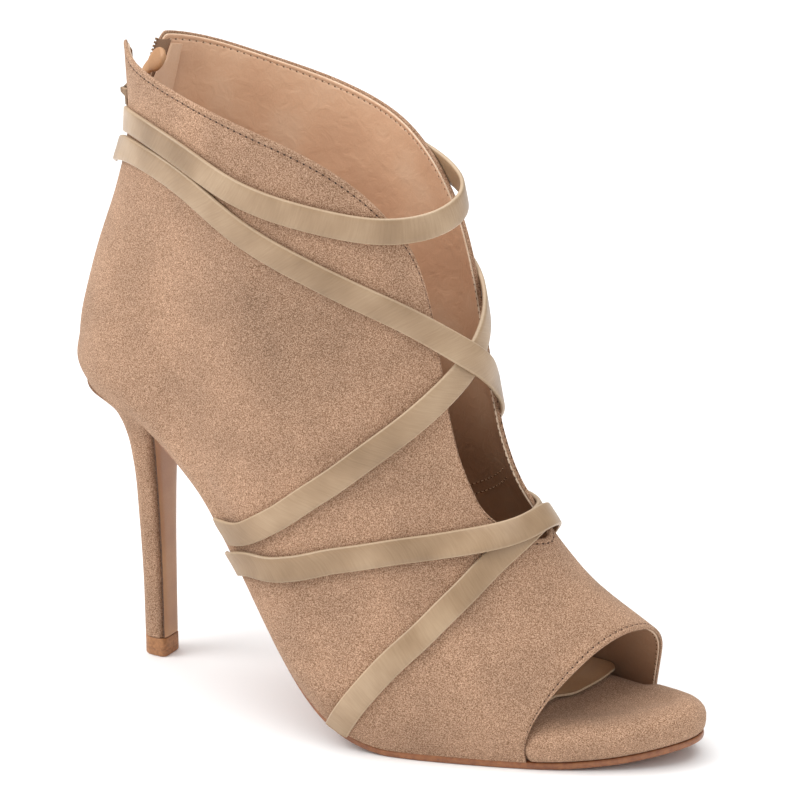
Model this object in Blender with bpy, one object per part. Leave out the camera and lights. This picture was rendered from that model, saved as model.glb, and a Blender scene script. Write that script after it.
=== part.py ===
"""Peep-toe ankle boot for the right foot, on a high slim heel, with five crossing straps.

Metres, +Z up, +X towards the toe, +Y towards the inner side of the foot.
The origin is on the floor, under the flat of the forefoot, on the heel's centre line.
"""
import bpy
import bmesh
import numpy as np
from math import pi

for item in list(bpy.data.objects):
    bpy.data.objects.remove(item, do_unlink=True)

# Driving sizes
LENGTH = 0.2185            # back of the seat to the toe tip, level
HEEL_HEIGHT = 0.1006       # floor to the back of the seat
TOP_HEIGHT = 0.2155        # floor to the collar at the back
BALL_WIDTH = 0.0800        # widest part of the forefoot
TOE_SWING = 0.0130         # toe tip towards the inner side
TOE_SPRING = 0.0062        # toe tip above the tread
WALL = 0.0018              # suede, stiffener and lining together
SOLE_THICK = 0.0023
PLATFORM = 0.0122          # footbed under the forefoot
SHANK = 0.0034             # footbed under the heel and arch
BULGE = 0.0010             # footbed beyond the last in the toe opening
SOCK = 0.0010
STRAP_WIDTH = 0.0084
STRAP_THICK = 0.0015
TIP_HEIGHT = 0.0066
COVER_THICK = 0.0012       # leather down the front of the heel
ZIP_SLOT = 0.0050
CHAIN_WIDTH = 0.0040
TAPE_WIDTH = 0.0200
TAPE_THICK = 0.0007
SLIDER_WIDTH = 0.0066
PULL_LENGTH = 0.0198
PULL_WIDTH = 0.0070
PULL_THICK = 0.0012

# Clearances
GAP = 0.0003               # between pieces that touch in the shoe
STRAP_GAP = 0.0005         # strap over the upper
CROSS_GAP = 0.0005         # strap over strap
BED_GAP = 0.0011           # footbed inside the upper's lining
PULL_GAP = 0.0004          # each side of the tab's foot

ORIGIN_SHARE = 0.6993      # of the length, from the back of the seat
TREAD = SOLE_THICK + GAP   # feather line above the floor at the forefoot

# The last as level loops. Along: share of the length. back_up: share of the leg above the
# seat. front_up: share of the leg above the toe. follow: how much of the arch shows here.
# The rest are half widths, as shares of the ball width, on the outer and the inner side.
LEVELS = (
    # level back_along back_up front_along front_up follow
    #     outer: heel waist middle ball toe   inner: heel waist middle ball toe
    (0.00, 0.000, 0.000, 1.000, 0.000, 1.00,
     .600, .375, .472, .424, .390, .600, .350, .450, .492, .420),
    (0.07, -.014, 0.056, 1.000, 0.039, 0.97,
     .640, .413, .508, .455, .405, .640, .388, .488, .512, .450),
    (0.17, -.010, 0.130, 0.972, 0.116, 0.86,
     .630, .425, .500, .450, .350, .630, .413, .475, .490, .460),
    (0.32, -.001, 0.230, 0.834, 0.217, 0.62,
     .590, .413, .463, .438, .375, .590, .400, .450, .446, .410),
    (0.48, 0.025, 0.404, 0.736, 0.340, 0.40,
     .505, .394, .419, .413, .388, .505, .394, .413, .413, .388),
    (0.65, 0.059, 0.587, 0.681, 0.470, 0.22,
     .438, .381, .388, .388, .375, .438, .381, .388, .388, .520),
    (0.83, 0.083, 0.778, 0.645, 0.659, 0.08,
     .415, .385, .385, .388, .375, .415, .388, .395, .395, .520),
    (1.00, 0.081, 1.000, 0.612, 0.848, 0.00,
     .430, .385, .372, .380, .390, .460, .400, .420, .418, .370),
)

# The feather line from the side
ARCH = (
    # along heel_share spring_share
    (0.000, 1.000, 0.00), (0.050, 0.979, 0.00), (0.141, 0.928, 0.00), (0.242, 0.749, 0.00),
    (0.343, 0.463, 0.00), (0.424, 0.229, 0.00), (0.505, 0.070, 0.00), (0.571, 0.010, 0.00),
    (0.606, 0.000, 0.00), (0.805, 0.000, 0.00), (0.900, 0.000, 0.28), (1.000, 0.000, 1.00),
)

# The upper's edges on one side: the foot edge and the edge that frames zip, collar and throat
EDGES = (
    # round foot_share edge_angle edge_level; the foot share is of the angle at the toe opening
    (0.000, 0.000, 0.000, 0.285), (0.035, 0.060, 0.048, 0.287), (0.050, 0.087, 0.066, 0.310),
    (0.215, 0.320, 0.072, 0.850), (0.230, 0.343, 0.086, 0.885), (0.262, 0.394, 0.290, 0.985),
    (0.275, 0.417, 0.345, 0.999), (0.300, 0.458, 0.450, 1.000), (0.520, 0.861, 1.600, 1.000),
    (0.600, 1.000, 2.060, 0.990), (0.650, 1.000, 2.300, 0.967), (0.690, 1.000, 2.450, 0.941),
    (0.730, 1.000, 2.580, 0.910), (0.780, 1.000, 2.670, 0.845), (0.830, 1.000, 2.695, 0.730),
    (0.900, 1.000, 2.690, 0.580), (0.945, 1.000, 2.690, 0.505), (0.972, 1.000, 2.780, 0.455),
    (0.987, 1.000, 2.930, 0.428), (1.000, 1.000, pi, 0.420),
)
# Past this place the foot edge climbs round the toe opening, by a share of its turn
PEEP_START = 0.600
PEEP_TURN = (
    # round share
    (0.600, 0.00), (0.650, 0.09), (0.690, 0.16), (0.730, 0.23), (0.780, 0.31), (0.830, 0.38),
    (0.900, 0.46), (0.945, 0.52), (0.972, 0.70), (0.987, 0.85), (1.000, 1.00),
)
PEEP_LEVEL = 0.245         # top of the toe opening
PEEP_MIDDLE = 3.020        # its middle angle
PEEP_HALF = 0.815          # its half angle
PEEP_POWER = 0.40          # how square it is at the sides

# Strap centre lines on one side, as angle and level; every strap is two of them
BAND_TOP = (
    (-0.100, 0.785), (0.070, 0.806), (0.300, 0.838), (0.600, 0.868), (1.000, 0.889),
    (1.500, 0.893), (2.000, 0.909), (2.420, 0.923), (2.800, 0.941), (pi, 0.955),
)
BAND_TOP_FAR = (
    (-0.100, 0.785), (0.070, 0.806), (0.300, 0.848), (0.600, 0.892), (1.000, 0.922),
    (1.500, 0.938), (2.000, 0.950), (2.420, 0.957), (2.800, 0.960), (pi, 0.955),
)
BAND_HIGH = (
    (-0.100, 0.694), (0.070, 0.720), (0.400, 0.776), (0.940, 0.830), (1.550, 0.832),
    (2.100, 0.820), (2.500, 0.801), (2.820, 0.772), (pi, 0.733),
)
BAND_FALLING = (
    (1.070, -.080), (1.130, 0.000), (1.266, 0.153), (1.430, 0.290), (1.640, 0.375),
    (1.940, 0.457), (2.280, 0.552), (2.520, 0.610), (2.820, 0.674), (pi, 0.733),
)
BAND_RISING = (
    (1.070, -.080), (1.130, 0.000), (1.266, 0.153), (1.430, 0.290), (1.640, 0.395),
    (1.940, 0.497), (2.280, 0.610), (2.520, 0.671), (2.820, 0.726), (pi, 0.765),
)
BAND_CLIMBING = (
    (-0.100, 0.694), (0.070, 0.722), (0.400, 0.780), (0.940, 0.832), (1.550, 0.838),
    (2.100, 0.836), (2.500, 0.826), (2.820, 0.801), (pi, 0.765),
)
BAND_LOW = (
    (1.155, -.070), (1.212, 0.000), (1.350, 0.172), (1.510, 0.268), (1.717, 0.336),
    (1.950, 0.374), (2.250, 0.411), (2.550, 0.434), (2.880, 0.446), (pi, 0.452),
)
BAND_VAMP = (
    (1.585, -.070), (1.620, 0.000), (1.680, 0.082), (1.750, 0.141), (1.835, 0.187),
    (2.056, 0.262), (2.312, 0.335), (2.632, 0.405), (2.900, 0.438), (pi, 0.452),
)
STRAPS = (
    # name outer_half inner_half crosses_over
    ("strap_top", BAND_TOP, BAND_TOP_FAR, None),
    ("strap_upper_under", BAND_RISING, BAND_CLIMBING, None),
    ("strap_upper_over", BAND_HIGH, BAND_FALLING, "strap_upper_under"),
    ("strap_lower_under", BAND_VAMP, BAND_LOW, None),
    ("strap_lower_over", BAND_LOW, BAND_VAMP, "strap_lower_under"),
)

# The heel from the tip's top to the seat
HEEL = (
    # up back_along breast_along half_width
    (0.000, 0.0792, 0.1171, 0.0625), (0.250, 0.0778, 0.1171, 0.0660),
    (0.470, 0.0737, 0.1169, 0.0740), (0.700, 0.0677, 0.1167, 0.0950),
    (0.800, 0.0596, 0.1172, 0.1100), (0.860, 0.0505, 0.1192, 0.1300),
    (0.915, 0.0384, 0.1253, 0.1680), (0.960, 0.0202, 0.1415, 0.2250),
    (1.000, 0.0030, 0.1667, 0.2850),
)

COLUMN = 0.0088            # widest cell of the upper's mesh
ROWS = 10
STRAP_SPANS = 44


def curve(xs, ys, x, level_runs=False):
    """Smooth curve through table rows."""
    xs = np.asarray(xs, float)
    ys = np.asarray(ys, float).reshape(len(xs), -1)
    x = np.clip(np.asarray(x, float), xs[0], xs[-1])
    d = np.diff(ys, axis=0) / np.diff(xs)[:, None]
    h = np.diff(xs)
    m = np.empty_like(ys)
    m[0] = d[0]
    m[-1] = d[-1]
    w = (h[1:] / (h[:-1] + h[1:]))[:, None]
    m[1:-1] = d[:-1] * w + d[1:] * (1 - w)
    if level_runs:
        m[1:-1] = np.where(d[:-1] * d[1:] <= 0, 0.0, m[1:-1])
        most = 3 * np.minimum(abs(d[:-1]), abs(d[1:]))
        m[1:-1] = np.clip(m[1:-1], -most, most)
    i = np.clip(np.searchsorted(xs, x, side="right") - 1, 0, len(xs) - 2)
    span = h[i][..., None]
    t = (x - xs[i])[..., None] / span
    rise = 3 * t**2 - 2 * t**3
    lead = (t**3 - 2 * t**2 + t) * span
    tail = (t**3 - t**2) * span
    return (1 - rise) * ys[i] + lead * m[i] + rise * ys[i + 1] + tail * m[i + 1]


def arch_height(share):
    """Feather line above the floor."""
    rows = np.array(ARCH)
    v = curve(rows[:, 0], rows[:, 1:], share, level_runs=True)
    return TREAD + v[..., 0] * (HEEL_HEIGHT - TREAD) + v[..., 1] * TOE_SPRING


def half_width(w, share):
    """Half width at a share of the loop, from five evenly spaced ones."""
    d = np.diff(w, axis=-1)
    m = np.concatenate([d[..., :1], (d[..., :-1] + d[..., 1:]) / 2, d[..., -1:]], -1)
    i = np.clip((share * 4).astype(int), 0, 3)[..., None]
    t = share * 4 - i[..., 0]
    w0 = np.take_along_axis(w, i, -1)[..., 0]
    w1 = np.take_along_axis(w, i + 1, -1)[..., 0]
    m0 = np.take_along_axis(m, i, -1)[..., 0]
    m1 = np.take_along_axis(m, i + 1, -1)[..., 0]
    rise = 3 * t**2 - 2 * t**3
    return (1 - rise) * w0 + (t**3 - 2 * t**2 + t) * m0 + rise * w1 + (t**3 - t**2) * m1


def last(angle, level):
    """Point of the last's surface; angle 0 at the back, pi at the toe, outer side first."""
    angle, level = np.broadcast_arrays(np.asarray(angle, float), np.asarray(level, float))
    rows = np.array(LEVELS)
    r = curve(rows[:, 0], rows[:, 1:], level)
    share = (1 - np.cos(angle)) / 2
    x = (r[..., 0] + (r[..., 2] - r[..., 0]) * share - ORIGIN_SHARE) * LENGTH
    ends = arch_height(np.array([0.0, 1.0]))
    back = ends[0] + r[..., 1] * (TOP_HEIGHT - ends[0])
    front = ends[1] + r[..., 3] * (TOP_HEIGHT - ends[1])
    sag = arch_height(share) - ends[0] - (ends[1] - ends[0]) * share
    z = back + (front - back) * share + r[..., 4] * sag
    outer = half_width(r[..., 5:10], share)
    inner = half_width(r[..., 10:15], share)
    side = np.where(np.sin(angle) >= 0, outer, inner)
    swing = np.clip(2 * share - 1, 0, 1)**1.7 * np.clip(1 - level / 0.6, 0, 1)
    y = TOE_SWING * swing - np.sin(angle) * side * BALL_WIDTH
    return np.stack([x, y, z], -1)


def partials(angle, level):
    """Change of the surface point with angle and with level."""
    step = 1e-4
    low = np.clip(level - step, 0, 1)
    high = np.clip(level + step, 0, 1)
    du = (last(angle + step, level) - last(angle - step, level)) / (2 * step)
    dv = (last(angle, high) - last(angle, low)) / (high - low)[..., None]
    return du, dv


def unit(v):
    return v / np.linalg.norm(v, axis=-1, keepdims=True)


def skin(angle, level, out=0.0):
    """Surface point moved outwards."""
    angle, level = np.broadcast_arrays(np.asarray(angle, float), np.asarray(level, float))
    level = np.clip(level, 0, 1)
    du, dv = partials(angle, level)
    out = np.asarray(out, float)[..., None]
    return last(angle, level) + unit(np.cross(du, dv)) * out


def smooth(t):
    t = np.clip(t, 0, 1)
    return t * t * (3 - 2 * t)


def peep_level(angle, narrower=0.0):
    """Level of the toe opening's edge; zero where there is none."""
    t = np.clip(1 - ((angle - PEEP_MIDDLE) / (PEEP_HALF - narrower))**2, 0, 1)
    return PEEP_LEVEL * t**PEEP_POWER


def level_at(angle, z):
    """Level where the surface reaches a height, near the foot."""
    levels = np.linspace(0, 0.45, 46)
    out = np.empty(len(angle))
    for i, a in enumerate(angle):
        out[i] = np.interp(z[i], last(a, levels)[:, 2], levels)
    return out


def make_object(name, verts, faces, material):
    mesh = bpy.data.meshes.new(name)
    mesh.from_pydata([tuple(map(float, v)) for v in verts], [], faces)
    bm = bmesh.new()
    bm.from_mesh(mesh)
    bmesh.ops.remove_doubles(bm, verts=bm.verts, dist=1e-6)
    bmesh.ops.dissolve_degenerate(bm, edges=bm.edges, dist=1e-6)
    bmesh.ops.triangulate(bm, faces=bm.faces, quad_method="SHORT_EDGE")
    bmesh.ops.recalc_face_normals(bm, faces=bm.faces)
    bm.to_mesh(mesh)
    bm.free()
    item = bpy.data.objects.new(name, mesh)
    bpy.context.collection.objects.link(item)
    mesh.materials.append(material)
    return item


def make_material(name, colour, rough, metal=0.0):
    m = bpy.data.materials.new(name)
    m.use_nodes = True
    shader = m.node_tree.nodes["Principled BSDF"]
    linear = [((c / 255 + 0.055) / 1.055)**2.4 for c in bytes.fromhex(colour)]
    shader.inputs["Base Color"].default_value = (*linear, 1.0)
    shader.inputs["Roughness"].default_value = rough
    shader.inputs["Metallic"].default_value = metal
    return m


def band(rings, closed, caps):
    """Faces between rings of points; caps join a ring's two sides."""
    count = len(rings[0])
    verts = [p for ring in rings for p in ring]
    faces = []
    for j in range(len(rings) - (0 if closed else 1)):
        a = j * count
        b = (j + 1) % len(rings) * count
        for i in range(count):
            k = (i + 1) % count
            faces.append((a + i, a + k, b + k, b + i))
    if caps:
        for start in (0, (len(rings) - 1) * count):
            for i in range(count // 2 - 1):
                j = count - 1 - i
                faces.append((start + i, start + i + 1, start + j - 1, start + j))
    return verts, faces


def edge_rows(inner_side, cell):
    """Foot edge and framing edge, cell by cell, from the back to the toe."""
    rows = np.array(EDGES)
    climb = np.array(PEEP_TURN)
    # both sides meet on the ridge, which is not quite the opening's middle
    lean = (pi - PEEP_MIDDLE) / PEEP_HALF * (1 if inner_side else -1)
    middle = 2 * pi - PEEP_MIDDLE if inner_side else PEEP_MIDDLE
    corner = middle - PEEP_HALF

    def at(u):
        u = np.asarray(u, float)
        v = curve(rows[:, 0], rows[:, 1:], u, level_runs=True)
        t = np.arccos(lean) * curve(climb[:, 0], climb[:, 1], u)[..., 0]
        foot = v[..., 0] * corner + PEEP_HALF * (1 - np.cos(t))
        return foot, PEEP_LEVEL * np.sin(t)**(2 * PEEP_POWER), v[..., 1], v[..., 2]

    places = [0.0]
    for a, b in zip(rows[:-1, 0], rows[1:, 0]):
        u = np.linspace(a, b, 9)
        foot, foot_level, edge, edge_level = at(u)
        low = np.linalg.norm(np.diff(last(foot, foot_level), axis=0), axis=1).sum()
        high = np.linalg.norm(np.diff(last(edge, edge_level), axis=0), axis=1).sum()
        cells = max(1, int(np.ceil(max(low, high) / cell)))
        places.extend(a + (b - a) * np.arange(1, cells + 1) / cells)
    return at(np.array(places))


def upper_grid(cell, rows):
    """Angles and levels of the upper's skin, round the shoe and up it."""
    outer = edge_rows(False, cell)
    inner = edge_rows(True, cell)
    v = np.linspace(0, 1, rows + 1)[:, None]
    halves = []
    for foot, foot_level, edge, edge_level in (outer, inner):
        halves.append((foot + (edge - foot) * v, foot_level + (edge_level - foot_level) * v))
    angle = np.concatenate([halves[0][0], 2 * pi - halves[1][0][:, -2:0:-1]], 1)
    level = np.concatenate([halves[0][1], halves[1][1][:, -2:0:-1]], 1)
    return angle, level


def build_upper(material):
    angle, level = upper_grid(COLUMN, ROWS)
    rings = list(skin(angle, level)) + list(skin(angle, level, -WALL)[::-1])
    verts, faces = band(rings, closed=True, caps=False)
    return make_object("upper", verts, faces, material)


def centre_line(outer_half, inner_half):
    """A strap's path from its outer end over the ridge to its inner end."""
    a = np.array(outer_half)
    b = np.array(inner_half)[-2::-1]
    b[:, 0] = 2 * pi - b[:, 0]
    knots = np.concatenate([a, b])
    fixed = last(knots[:, 0], np.clip(knots[:, 1], 0, 1))
    steps = np.linalg.norm(np.diff(fixed, axis=0), axis=1)
    along = np.concatenate([[0], np.cumsum(np.maximum(steps, 0.002))])
    return along, knots


def strap_place(line, s, k):
    """Angle and level at a distance along and a share of the half width across."""
    along, knots = line
    q = curve(along, knots, s)
    ahead = curve(along, knots, s + 2e-4)
    behind = curve(along, knots, s - 2e-4)
    level = np.clip(q[..., 1], 0.004, 0.996)
    du, dv = partials(q[..., 0], level)
    way = ahead - behind
    tangent = unit(du * way[..., :1] + dv * way[..., 1:])
    side = np.cross(unit(np.cross(du, dv)), tangent)
    uu, uv, vv = (du * du).sum(-1), (du * dv).sum(-1), (dv * dv).sum(-1)
    su, sv = (side * du).sum(-1), (side * dv).sum(-1)
    det = uu * vv - uv * uv
    step = np.stack([(su * vv - sv * uv) / det, (sv * uu - su * uv) / det], -1)
    return q + step * np.asarray(k)[..., None] * STRAP_WIDTH / 2


def strap_ends(line, k):
    """Where one lengthwise edge starts and stops: at the zip or at the foot edge."""
    s = np.linspace(0, line[0][-1], 900)
    q = strap_place(line, s, np.full(len(s), k))
    stop = ZIP_SLOT / 2 / (BALL_WIDTH * 0.43) + 0.006
    inside = (q[:, 0] > stop) & (q[:, 0] < 2 * pi - stop) & (q[:, 1] > 0.006)
    middle = len(s) // 2
    first = middle - np.argmin(inside[middle::-1]) + 1
    final = middle + np.argmin(inside[middle:]) - 1
    return s[first], s[final]


STRAP_RING = (
    # across up
    (-0.96, 0.0), (0.0, 0.0), (0.96, 0.0), (1.0, 0.5), (0.92, 1.0), (0.0, 1.0), (-0.92, 1.0),
    (-1.0, 0.5),
)


def strap_rings(line, under, spans, ring=STRAP_RING):
    """Rings of points along a strap, lifted where it crosses the strap under it."""
    t = np.linspace(0, 1, spans + 1)
    columns = []
    for k, up in ring:
        start, stop = strap_ends(line, k)
        s = start + (stop - start) * t
        q = strap_place(line, s, np.full(len(s), k))
        lift = np.zeros(len(s))
        if under is not None:
            spot = skin(q[:, 0], q[:, 1])
            other = curve(under[0], under[1], np.linspace(0, under[0][-1], 400))
            other = last(other[:, 0], np.clip(other[:, 1], 0, 1))
            near = np.linalg.norm(spot[:, None] - other[None], axis=2).min(1)
            lift = (STRAP_THICK + CROSS_GAP) * smooth(1 - (near - STRAP_WIDTH * 0.62) / 0.009)
        columns.append(skin(q[:, 0], q[:, 1], STRAP_GAP + up * STRAP_THICK + lift))
    return np.stack(columns, 1)


def build_strap(name, outer_half, inner_half, over, material):
    lines = {row[0]: centre_line(row[1], row[2]) for row in STRAPS}
    rings = strap_rings(lines[name], lines.get(over), STRAP_SPANS)
    count = len(STRAP_RING)
    verts, faces = band(list(rings), closed=False, caps=False)
    last_ring = (len(rings) - 1) * count
    faces.append(tuple(range(count)))
    faces.append(tuple(last_ring + i for i in range(count)))
    return make_object(name, verts, faces, material)


def build_plate(name, shares, outline, layers, material):
    """A sheet with an outline; layers give its inset and height, one ring each."""
    rings = []
    for inset, height in layers:
        left, right = outline(shares, inset)
        flat = np.concatenate([left, right[::-1]])
        z = height(np.clip(flat[:, 0] / LENGTH + ORIGIN_SHARE, 0, 1))
        rings.append([(x, y, h) for (x, y), h in zip(flat, z)])
    verts, faces = band(rings, closed=False, caps=True)
    return make_object(name, verts, faces, material)


def inward(points, inset):
    """A flat outline moved inwards by a distance given point by point."""
    way = np.gradient(points, axis=0)
    way[np.linalg.norm(way, axis=1) < 1e-9] = (1.0, 0.0)
    way = unit(way)
    return points + np.stack([-way[:, 1], way[:, 0]], 1) * np.asarray(inset)[:, None]


def foot_outline(shares, inset, level=0.0):
    """Outer and inner side of the loop at a level, moved inwards."""
    angle = np.arccos(1 - 2 * shares)
    both = np.concatenate([angle, 2 * pi - angle[-2::-1]])
    closed = last(both, np.broadcast_to(level, both.shape))[:, :2]
    inset = np.concatenate([inset, inset[-2::-1]])
    moved = inward(closed, inset)
    count = len(shares)
    return moved[:count], moved[count - 1:][::-1]


def spread(start, stop, count):
    """Shares of the length, closer together at the toe."""
    a = np.arccos(1 - 2 * np.array([start, stop]))
    return (1 - np.cos(np.linspace(a[0], a[1], count))) / 2


def sole_inset(shares):
    """The sole's edge inside the feather line: flush at the forefoot, narrow at the waist."""
    rows = ((0.0, 0.024), (0.22, 0.028), (0.34, 0.030), (0.46, 0.018), (0.56, 0.004),
            (0.66, -.004), (1.0, -.004))
    rows = np.array(rows)
    return curve(rows[:, 0], rows[:, 1], shares, level_runs=True)[:, 0] * BALL_WIDTH


def build_outsole(material):
    shares = spread(0.178, 1.0, 34)
    bevel = 0.0006
    edge = sole_inset(shares)

    def below(depth):
        """Height of a layer this far under the sole's top, square to the arch."""
        def height(share):
            step = 1e-3
            rise = arch_height(share + step) - arch_height(share - step)
            return arch_height(share) - GAP - depth * np.hypot(1, rise / (2 * step * LENGTH))
        return height

    layers = (
        (edge + bevel, below(SOLE_THICK)), (edge, below(SOLE_THICK - bevel)), (edge, below(0.0)),
    )
    return build_plate("outsole", shares, foot_outline, layers, material)


def bed_thickness(shares):
    """Footbed: a thin shank that thickens to a platform under the forefoot."""
    return SHANK + (PLATFORM - SHANK) * smooth((shares - 0.36) / 0.24)


def wall_ring(shares, up, above, depth):
    """Ring inside the upper's wall, at a share of the footbed's thickness and a rise above."""
    angle = np.arccos(1 - 2 * shares)
    both = np.concatenate([angle, 2 * pi - angle[::-1]])
    share = np.concatenate([shares, shares[::-1]])
    level = level_at(both, arch_height(share) + up * bed_thickness(share) + above)
    for _ in range(5):
        spot = skin(both, level, -depth(both, level))
        share = np.clip(spot[:, 0] / LENGTH + ORIGIN_SHARE, 0, 1)
        z = arch_height(share) + up * bed_thickness(share) + above
        rise = np.maximum(partials(both, level)[1][:, 2], 0.03)
        level = np.clip(level + (z - spot[:, 2]) / rise, 0, 0.45)
    spot[:, 2] = z
    return spot


def bed_shares():
    return spread(0.004, 0.9995, 36)


def bed_ring(shares, up, extra):
    """Ring of the footbed; it takes the upper's full width inside the toe opening."""
    def depth(angle, level):
        top = peep_level(angle, 0.05)
        hidden = 1 - smooth((top - 0.020 - level) / 0.05) * (top > 0)
        return (WALL + BED_GAP) * hidden - BULGE * (1 - hidden) + extra
    return wall_ring(shares, up, 0.0, depth)


def build_footbed(material):
    shares = bed_shares()
    layers = ((0.0, 0.0012), (0.12, 0.0003), (0.40, 0.0), (0.68, 0.0006), (0.90, 0.0024),
              (1.0, 0.0052))
    rings = [bed_ring(shares, up, extra) for up, extra in layers]
    verts, faces = band(rings, closed=False, caps=True)
    return make_object("footbed", verts, faces, material)


def build_sock(material):
    """Sock lining on the footbed, stopping short of the toe."""
    def ring(above):
        spot = wall_ring(shares, 1.0, above, lambda angle, level: WALL + BED_GAP + 0.0004)
        # the front edge runs askew, further forward on the inner side
        share = np.concatenate([shares, shares[::-1]])
        front = smooth((share - 0.70) / 0.10)
        spot[:, 0] += (spot[:, 1] / BALL_WIDTH + 0.35) * 0.0085 * front
        spot[:, 1] *= 1 - 0.03 * front
        return spot

    shares = bed_shares()
    shares = np.append(shares[(shares > 0.007) & (shares < 0.785)], 0.800)
    rings = [ring(GAP + 0.0002), ring(GAP + 0.0002 + SOCK)]
    verts, faces = band(rings, closed=False, caps=True)
    return make_object("sock_lining", verts, faces, material)


def heel_row(up):
    rows = np.array(HEEL)
    return curve(rows[:, 0], rows[:, 1:], up)


def heel_ring(up, count, shrink=0.0):
    """D-shaped section, its height a share of the seat above each point."""
    back, breast, half = heel_row(up)
    middle = back + 0.55 * (breast - back)
    t = np.linspace(0, pi, count)
    rear = np.cos(t) > 0
    power = np.where(rear, 1.0, 0.4)
    reach = np.where(rear, middle - back, breast - middle) * LENGTH - shrink
    x = (middle - ORIGIN_SHARE) * LENGTH - np.sign(np.cos(t)) * abs(np.cos(t))**power * reach
    y = abs(np.sin(t))**power * (half * BALL_WIDTH - shrink)
    floor = TIP_HEIGHT + GAP
    seat = arch_height(x / LENGTH + ORIGIN_SHARE) - GAP
    z = floor + up * (seat - floor)
    left = [(a, -b, c) for a, b, c in zip(x, y, z)]
    right = [(a, b, c) for a, b, c in zip(x, y, z)]
    return left + right[::-1]


def build_heel(material):
    ups = (0.0, 0.12, 0.25, 0.40, 0.55, 0.70, 0.80, 0.86, 0.90, 0.94, 0.97, 1.0)
    rings = [heel_ring(up, 13) for up in ups]
    verts, faces = band(rings, closed=False, caps=True)
    return make_object("heel", verts, faces, material)


def build_breast(material):
    """Leather down the front of the heel."""
    ups = (0.002, 0.25, 0.50, 0.70, 0.80, 0.86, 0.90, 0.93, 0.955, 0.975, 0.992)
    across = np.array([-0.80, -0.4, 0.0, 0.4, 0.80])
    rings = []
    floor = TIP_HEIGHT + GAP
    for up in ups:
        back, breast, half = heel_row(up)
        ring = []
        for out, order in ((GAP, 1), (GAP + COVER_THICK, -1)):
            x = (breast - ORIGIN_SHARE) * LENGTH + out
            seat = arch_height(np.array(x / LENGTH + ORIGIN_SHARE)) - GAP
            z = floor + up * (seat - floor)
            ring += [(x, k * half * BALL_WIDTH, z) for k in across[::order]]
        rings.append(ring)
    verts, faces = band(rings, closed=False, caps=True)
    return make_object("heel_breast_cover", verts, faces, material)


def build_tip(material):
    rings = []
    for height, shrink in ((0.0, 0.0004), (0.0004, 0.0), (TIP_HEIGHT, 0.0)):
        ring = heel_ring(0.0, 13, shrink)
        rings.append([(x, y, height) for x, y, _ in ring])
    # the tip also stands under the leather at the front
    reach = GAP + COVER_THICK
    front = (HEEL[0][2] - ORIGIN_SHARE) * LENGTH - 0.002
    rings = [[(x + (reach if x > front else 0.0), y, z) for x, y, z in ring] for ring in rings]
    verts, faces = band(rings, closed=False, caps=True)
    return make_object("heel_tip", verts, faces, material)


def back_strip(name, sides, levels, inner, outer, material):
    """Strip down the back seam: half widths left and right, and its two depths."""
    rings = []
    heel_widths = [row[6] for row in LEVELS]
    for level, (left, right) in zip(levels, sides):
        turn = np.interp(level, [row[0] for row in LEVELS], heel_widths) * BALL_WIDTH
        a = np.linspace(-right / turn, left / turn, 5)
        face = skin(a, np.full(5, level), outer)
        rear = skin(a, np.full(5, level), inner)
        rings.append(list(face) + list(rear[::-1]))
    verts, faces = band(rings, closed=False, caps=True)
    return make_object(name, verts, faces, material)


def build_zip(tape, metal, guard):
    levels = np.linspace(0.300, 0.868, 12)
    half = CHAIN_WIDTH / 2
    back_strip("zip_chain", [(half, half)] * 12, levels, -WALL, 0.0002, metal)
    half = TAPE_WIDTH / 2
    depth = -(WALL + GAP)
    levels = np.linspace(0.262, 0.884, 12)
    back_strip("zip_tape", [(half, half)] * 12, levels, depth - TAPE_THICK, depth, tape)
    depth = depth - TAPE_THICK - GAP
    levels = np.append(np.linspace(0.240, 0.880, 14), (0.920, 0.975))
    sides = [(0.0125, 0.0060)] * 14 + [(0.0125, -0.0045), (0.0125, -0.0095)]
    back_strip("zip_guard", [(b, a) for a, b in sides], levels, depth - 0.0008, depth, guard)


def hinge_place():
    """Centre of the tab's pin, behind the slider."""
    spot = skin(0.0, 0.880)
    return np.array([spot[0] - 0.0040, 0.0, spot[2] + 0.0004])


def build_slider(material):
    """Slider plate on the chain's top end, with two cheeks that hold the tab's pin."""
    low = skin(0.0, 0.838, 0.0006)
    high = skin(0.0, 0.884, 0.0006)
    way = unit(high - low)
    out = np.array([-way[2], 0.0, way[0]])
    half = SLIDER_WIDTH / 2
    cheek = PULL_WIDTH * 0.24 + PULL_GAP
    slices = (
        # along wide under plate_top cheek_top
        (0.00, 0.72, 0.0, 0.0012, 0.0012), (0.30, 1.00, 0.0, 0.0014, 0.0014),
        (0.60, 1.00, 0.0, 0.0014, 0.0020), (0.78, 1.00, 0.0, 0.0014, 0.0046),
        (0.98, 1.00, 0.0, 0.0014, 0.0048), (1.02, 0.96, 0.0, 0.0012, 0.0044),
    )
    rings = []
    span = high - low
    for along, wide, near, plate, ear in slices:
        base = low + span * along
        w = half * wide
        edge = min(w, cheek + 0.0010)
        ring = []
        for y, o in ((-w, near), (w, near), (w, plate), (edge, ear), (cheek, ear),
                     (cheek, plate), (-cheek, plate), (-cheek, ear), (-edge, ear), (-w, plate)):
            p = base + out * o
            ring.append((p[0], y, p[2]))
        rings.append(ring)
    count = len(rings[0])
    verts, faces = band(rings, closed=False, caps=False)
    for start in (0, (len(rings) - 1) * count):
        faces.append((start, start + 1, start + 2, start + 5, start + 6, start + 9))
        faces.append((start + 2, start + 3, start + 4, start + 5))
        faces.append((start + 6, start + 7, start + 8, start + 9))
    return make_object("zip_slider", verts, faces, material)


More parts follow.
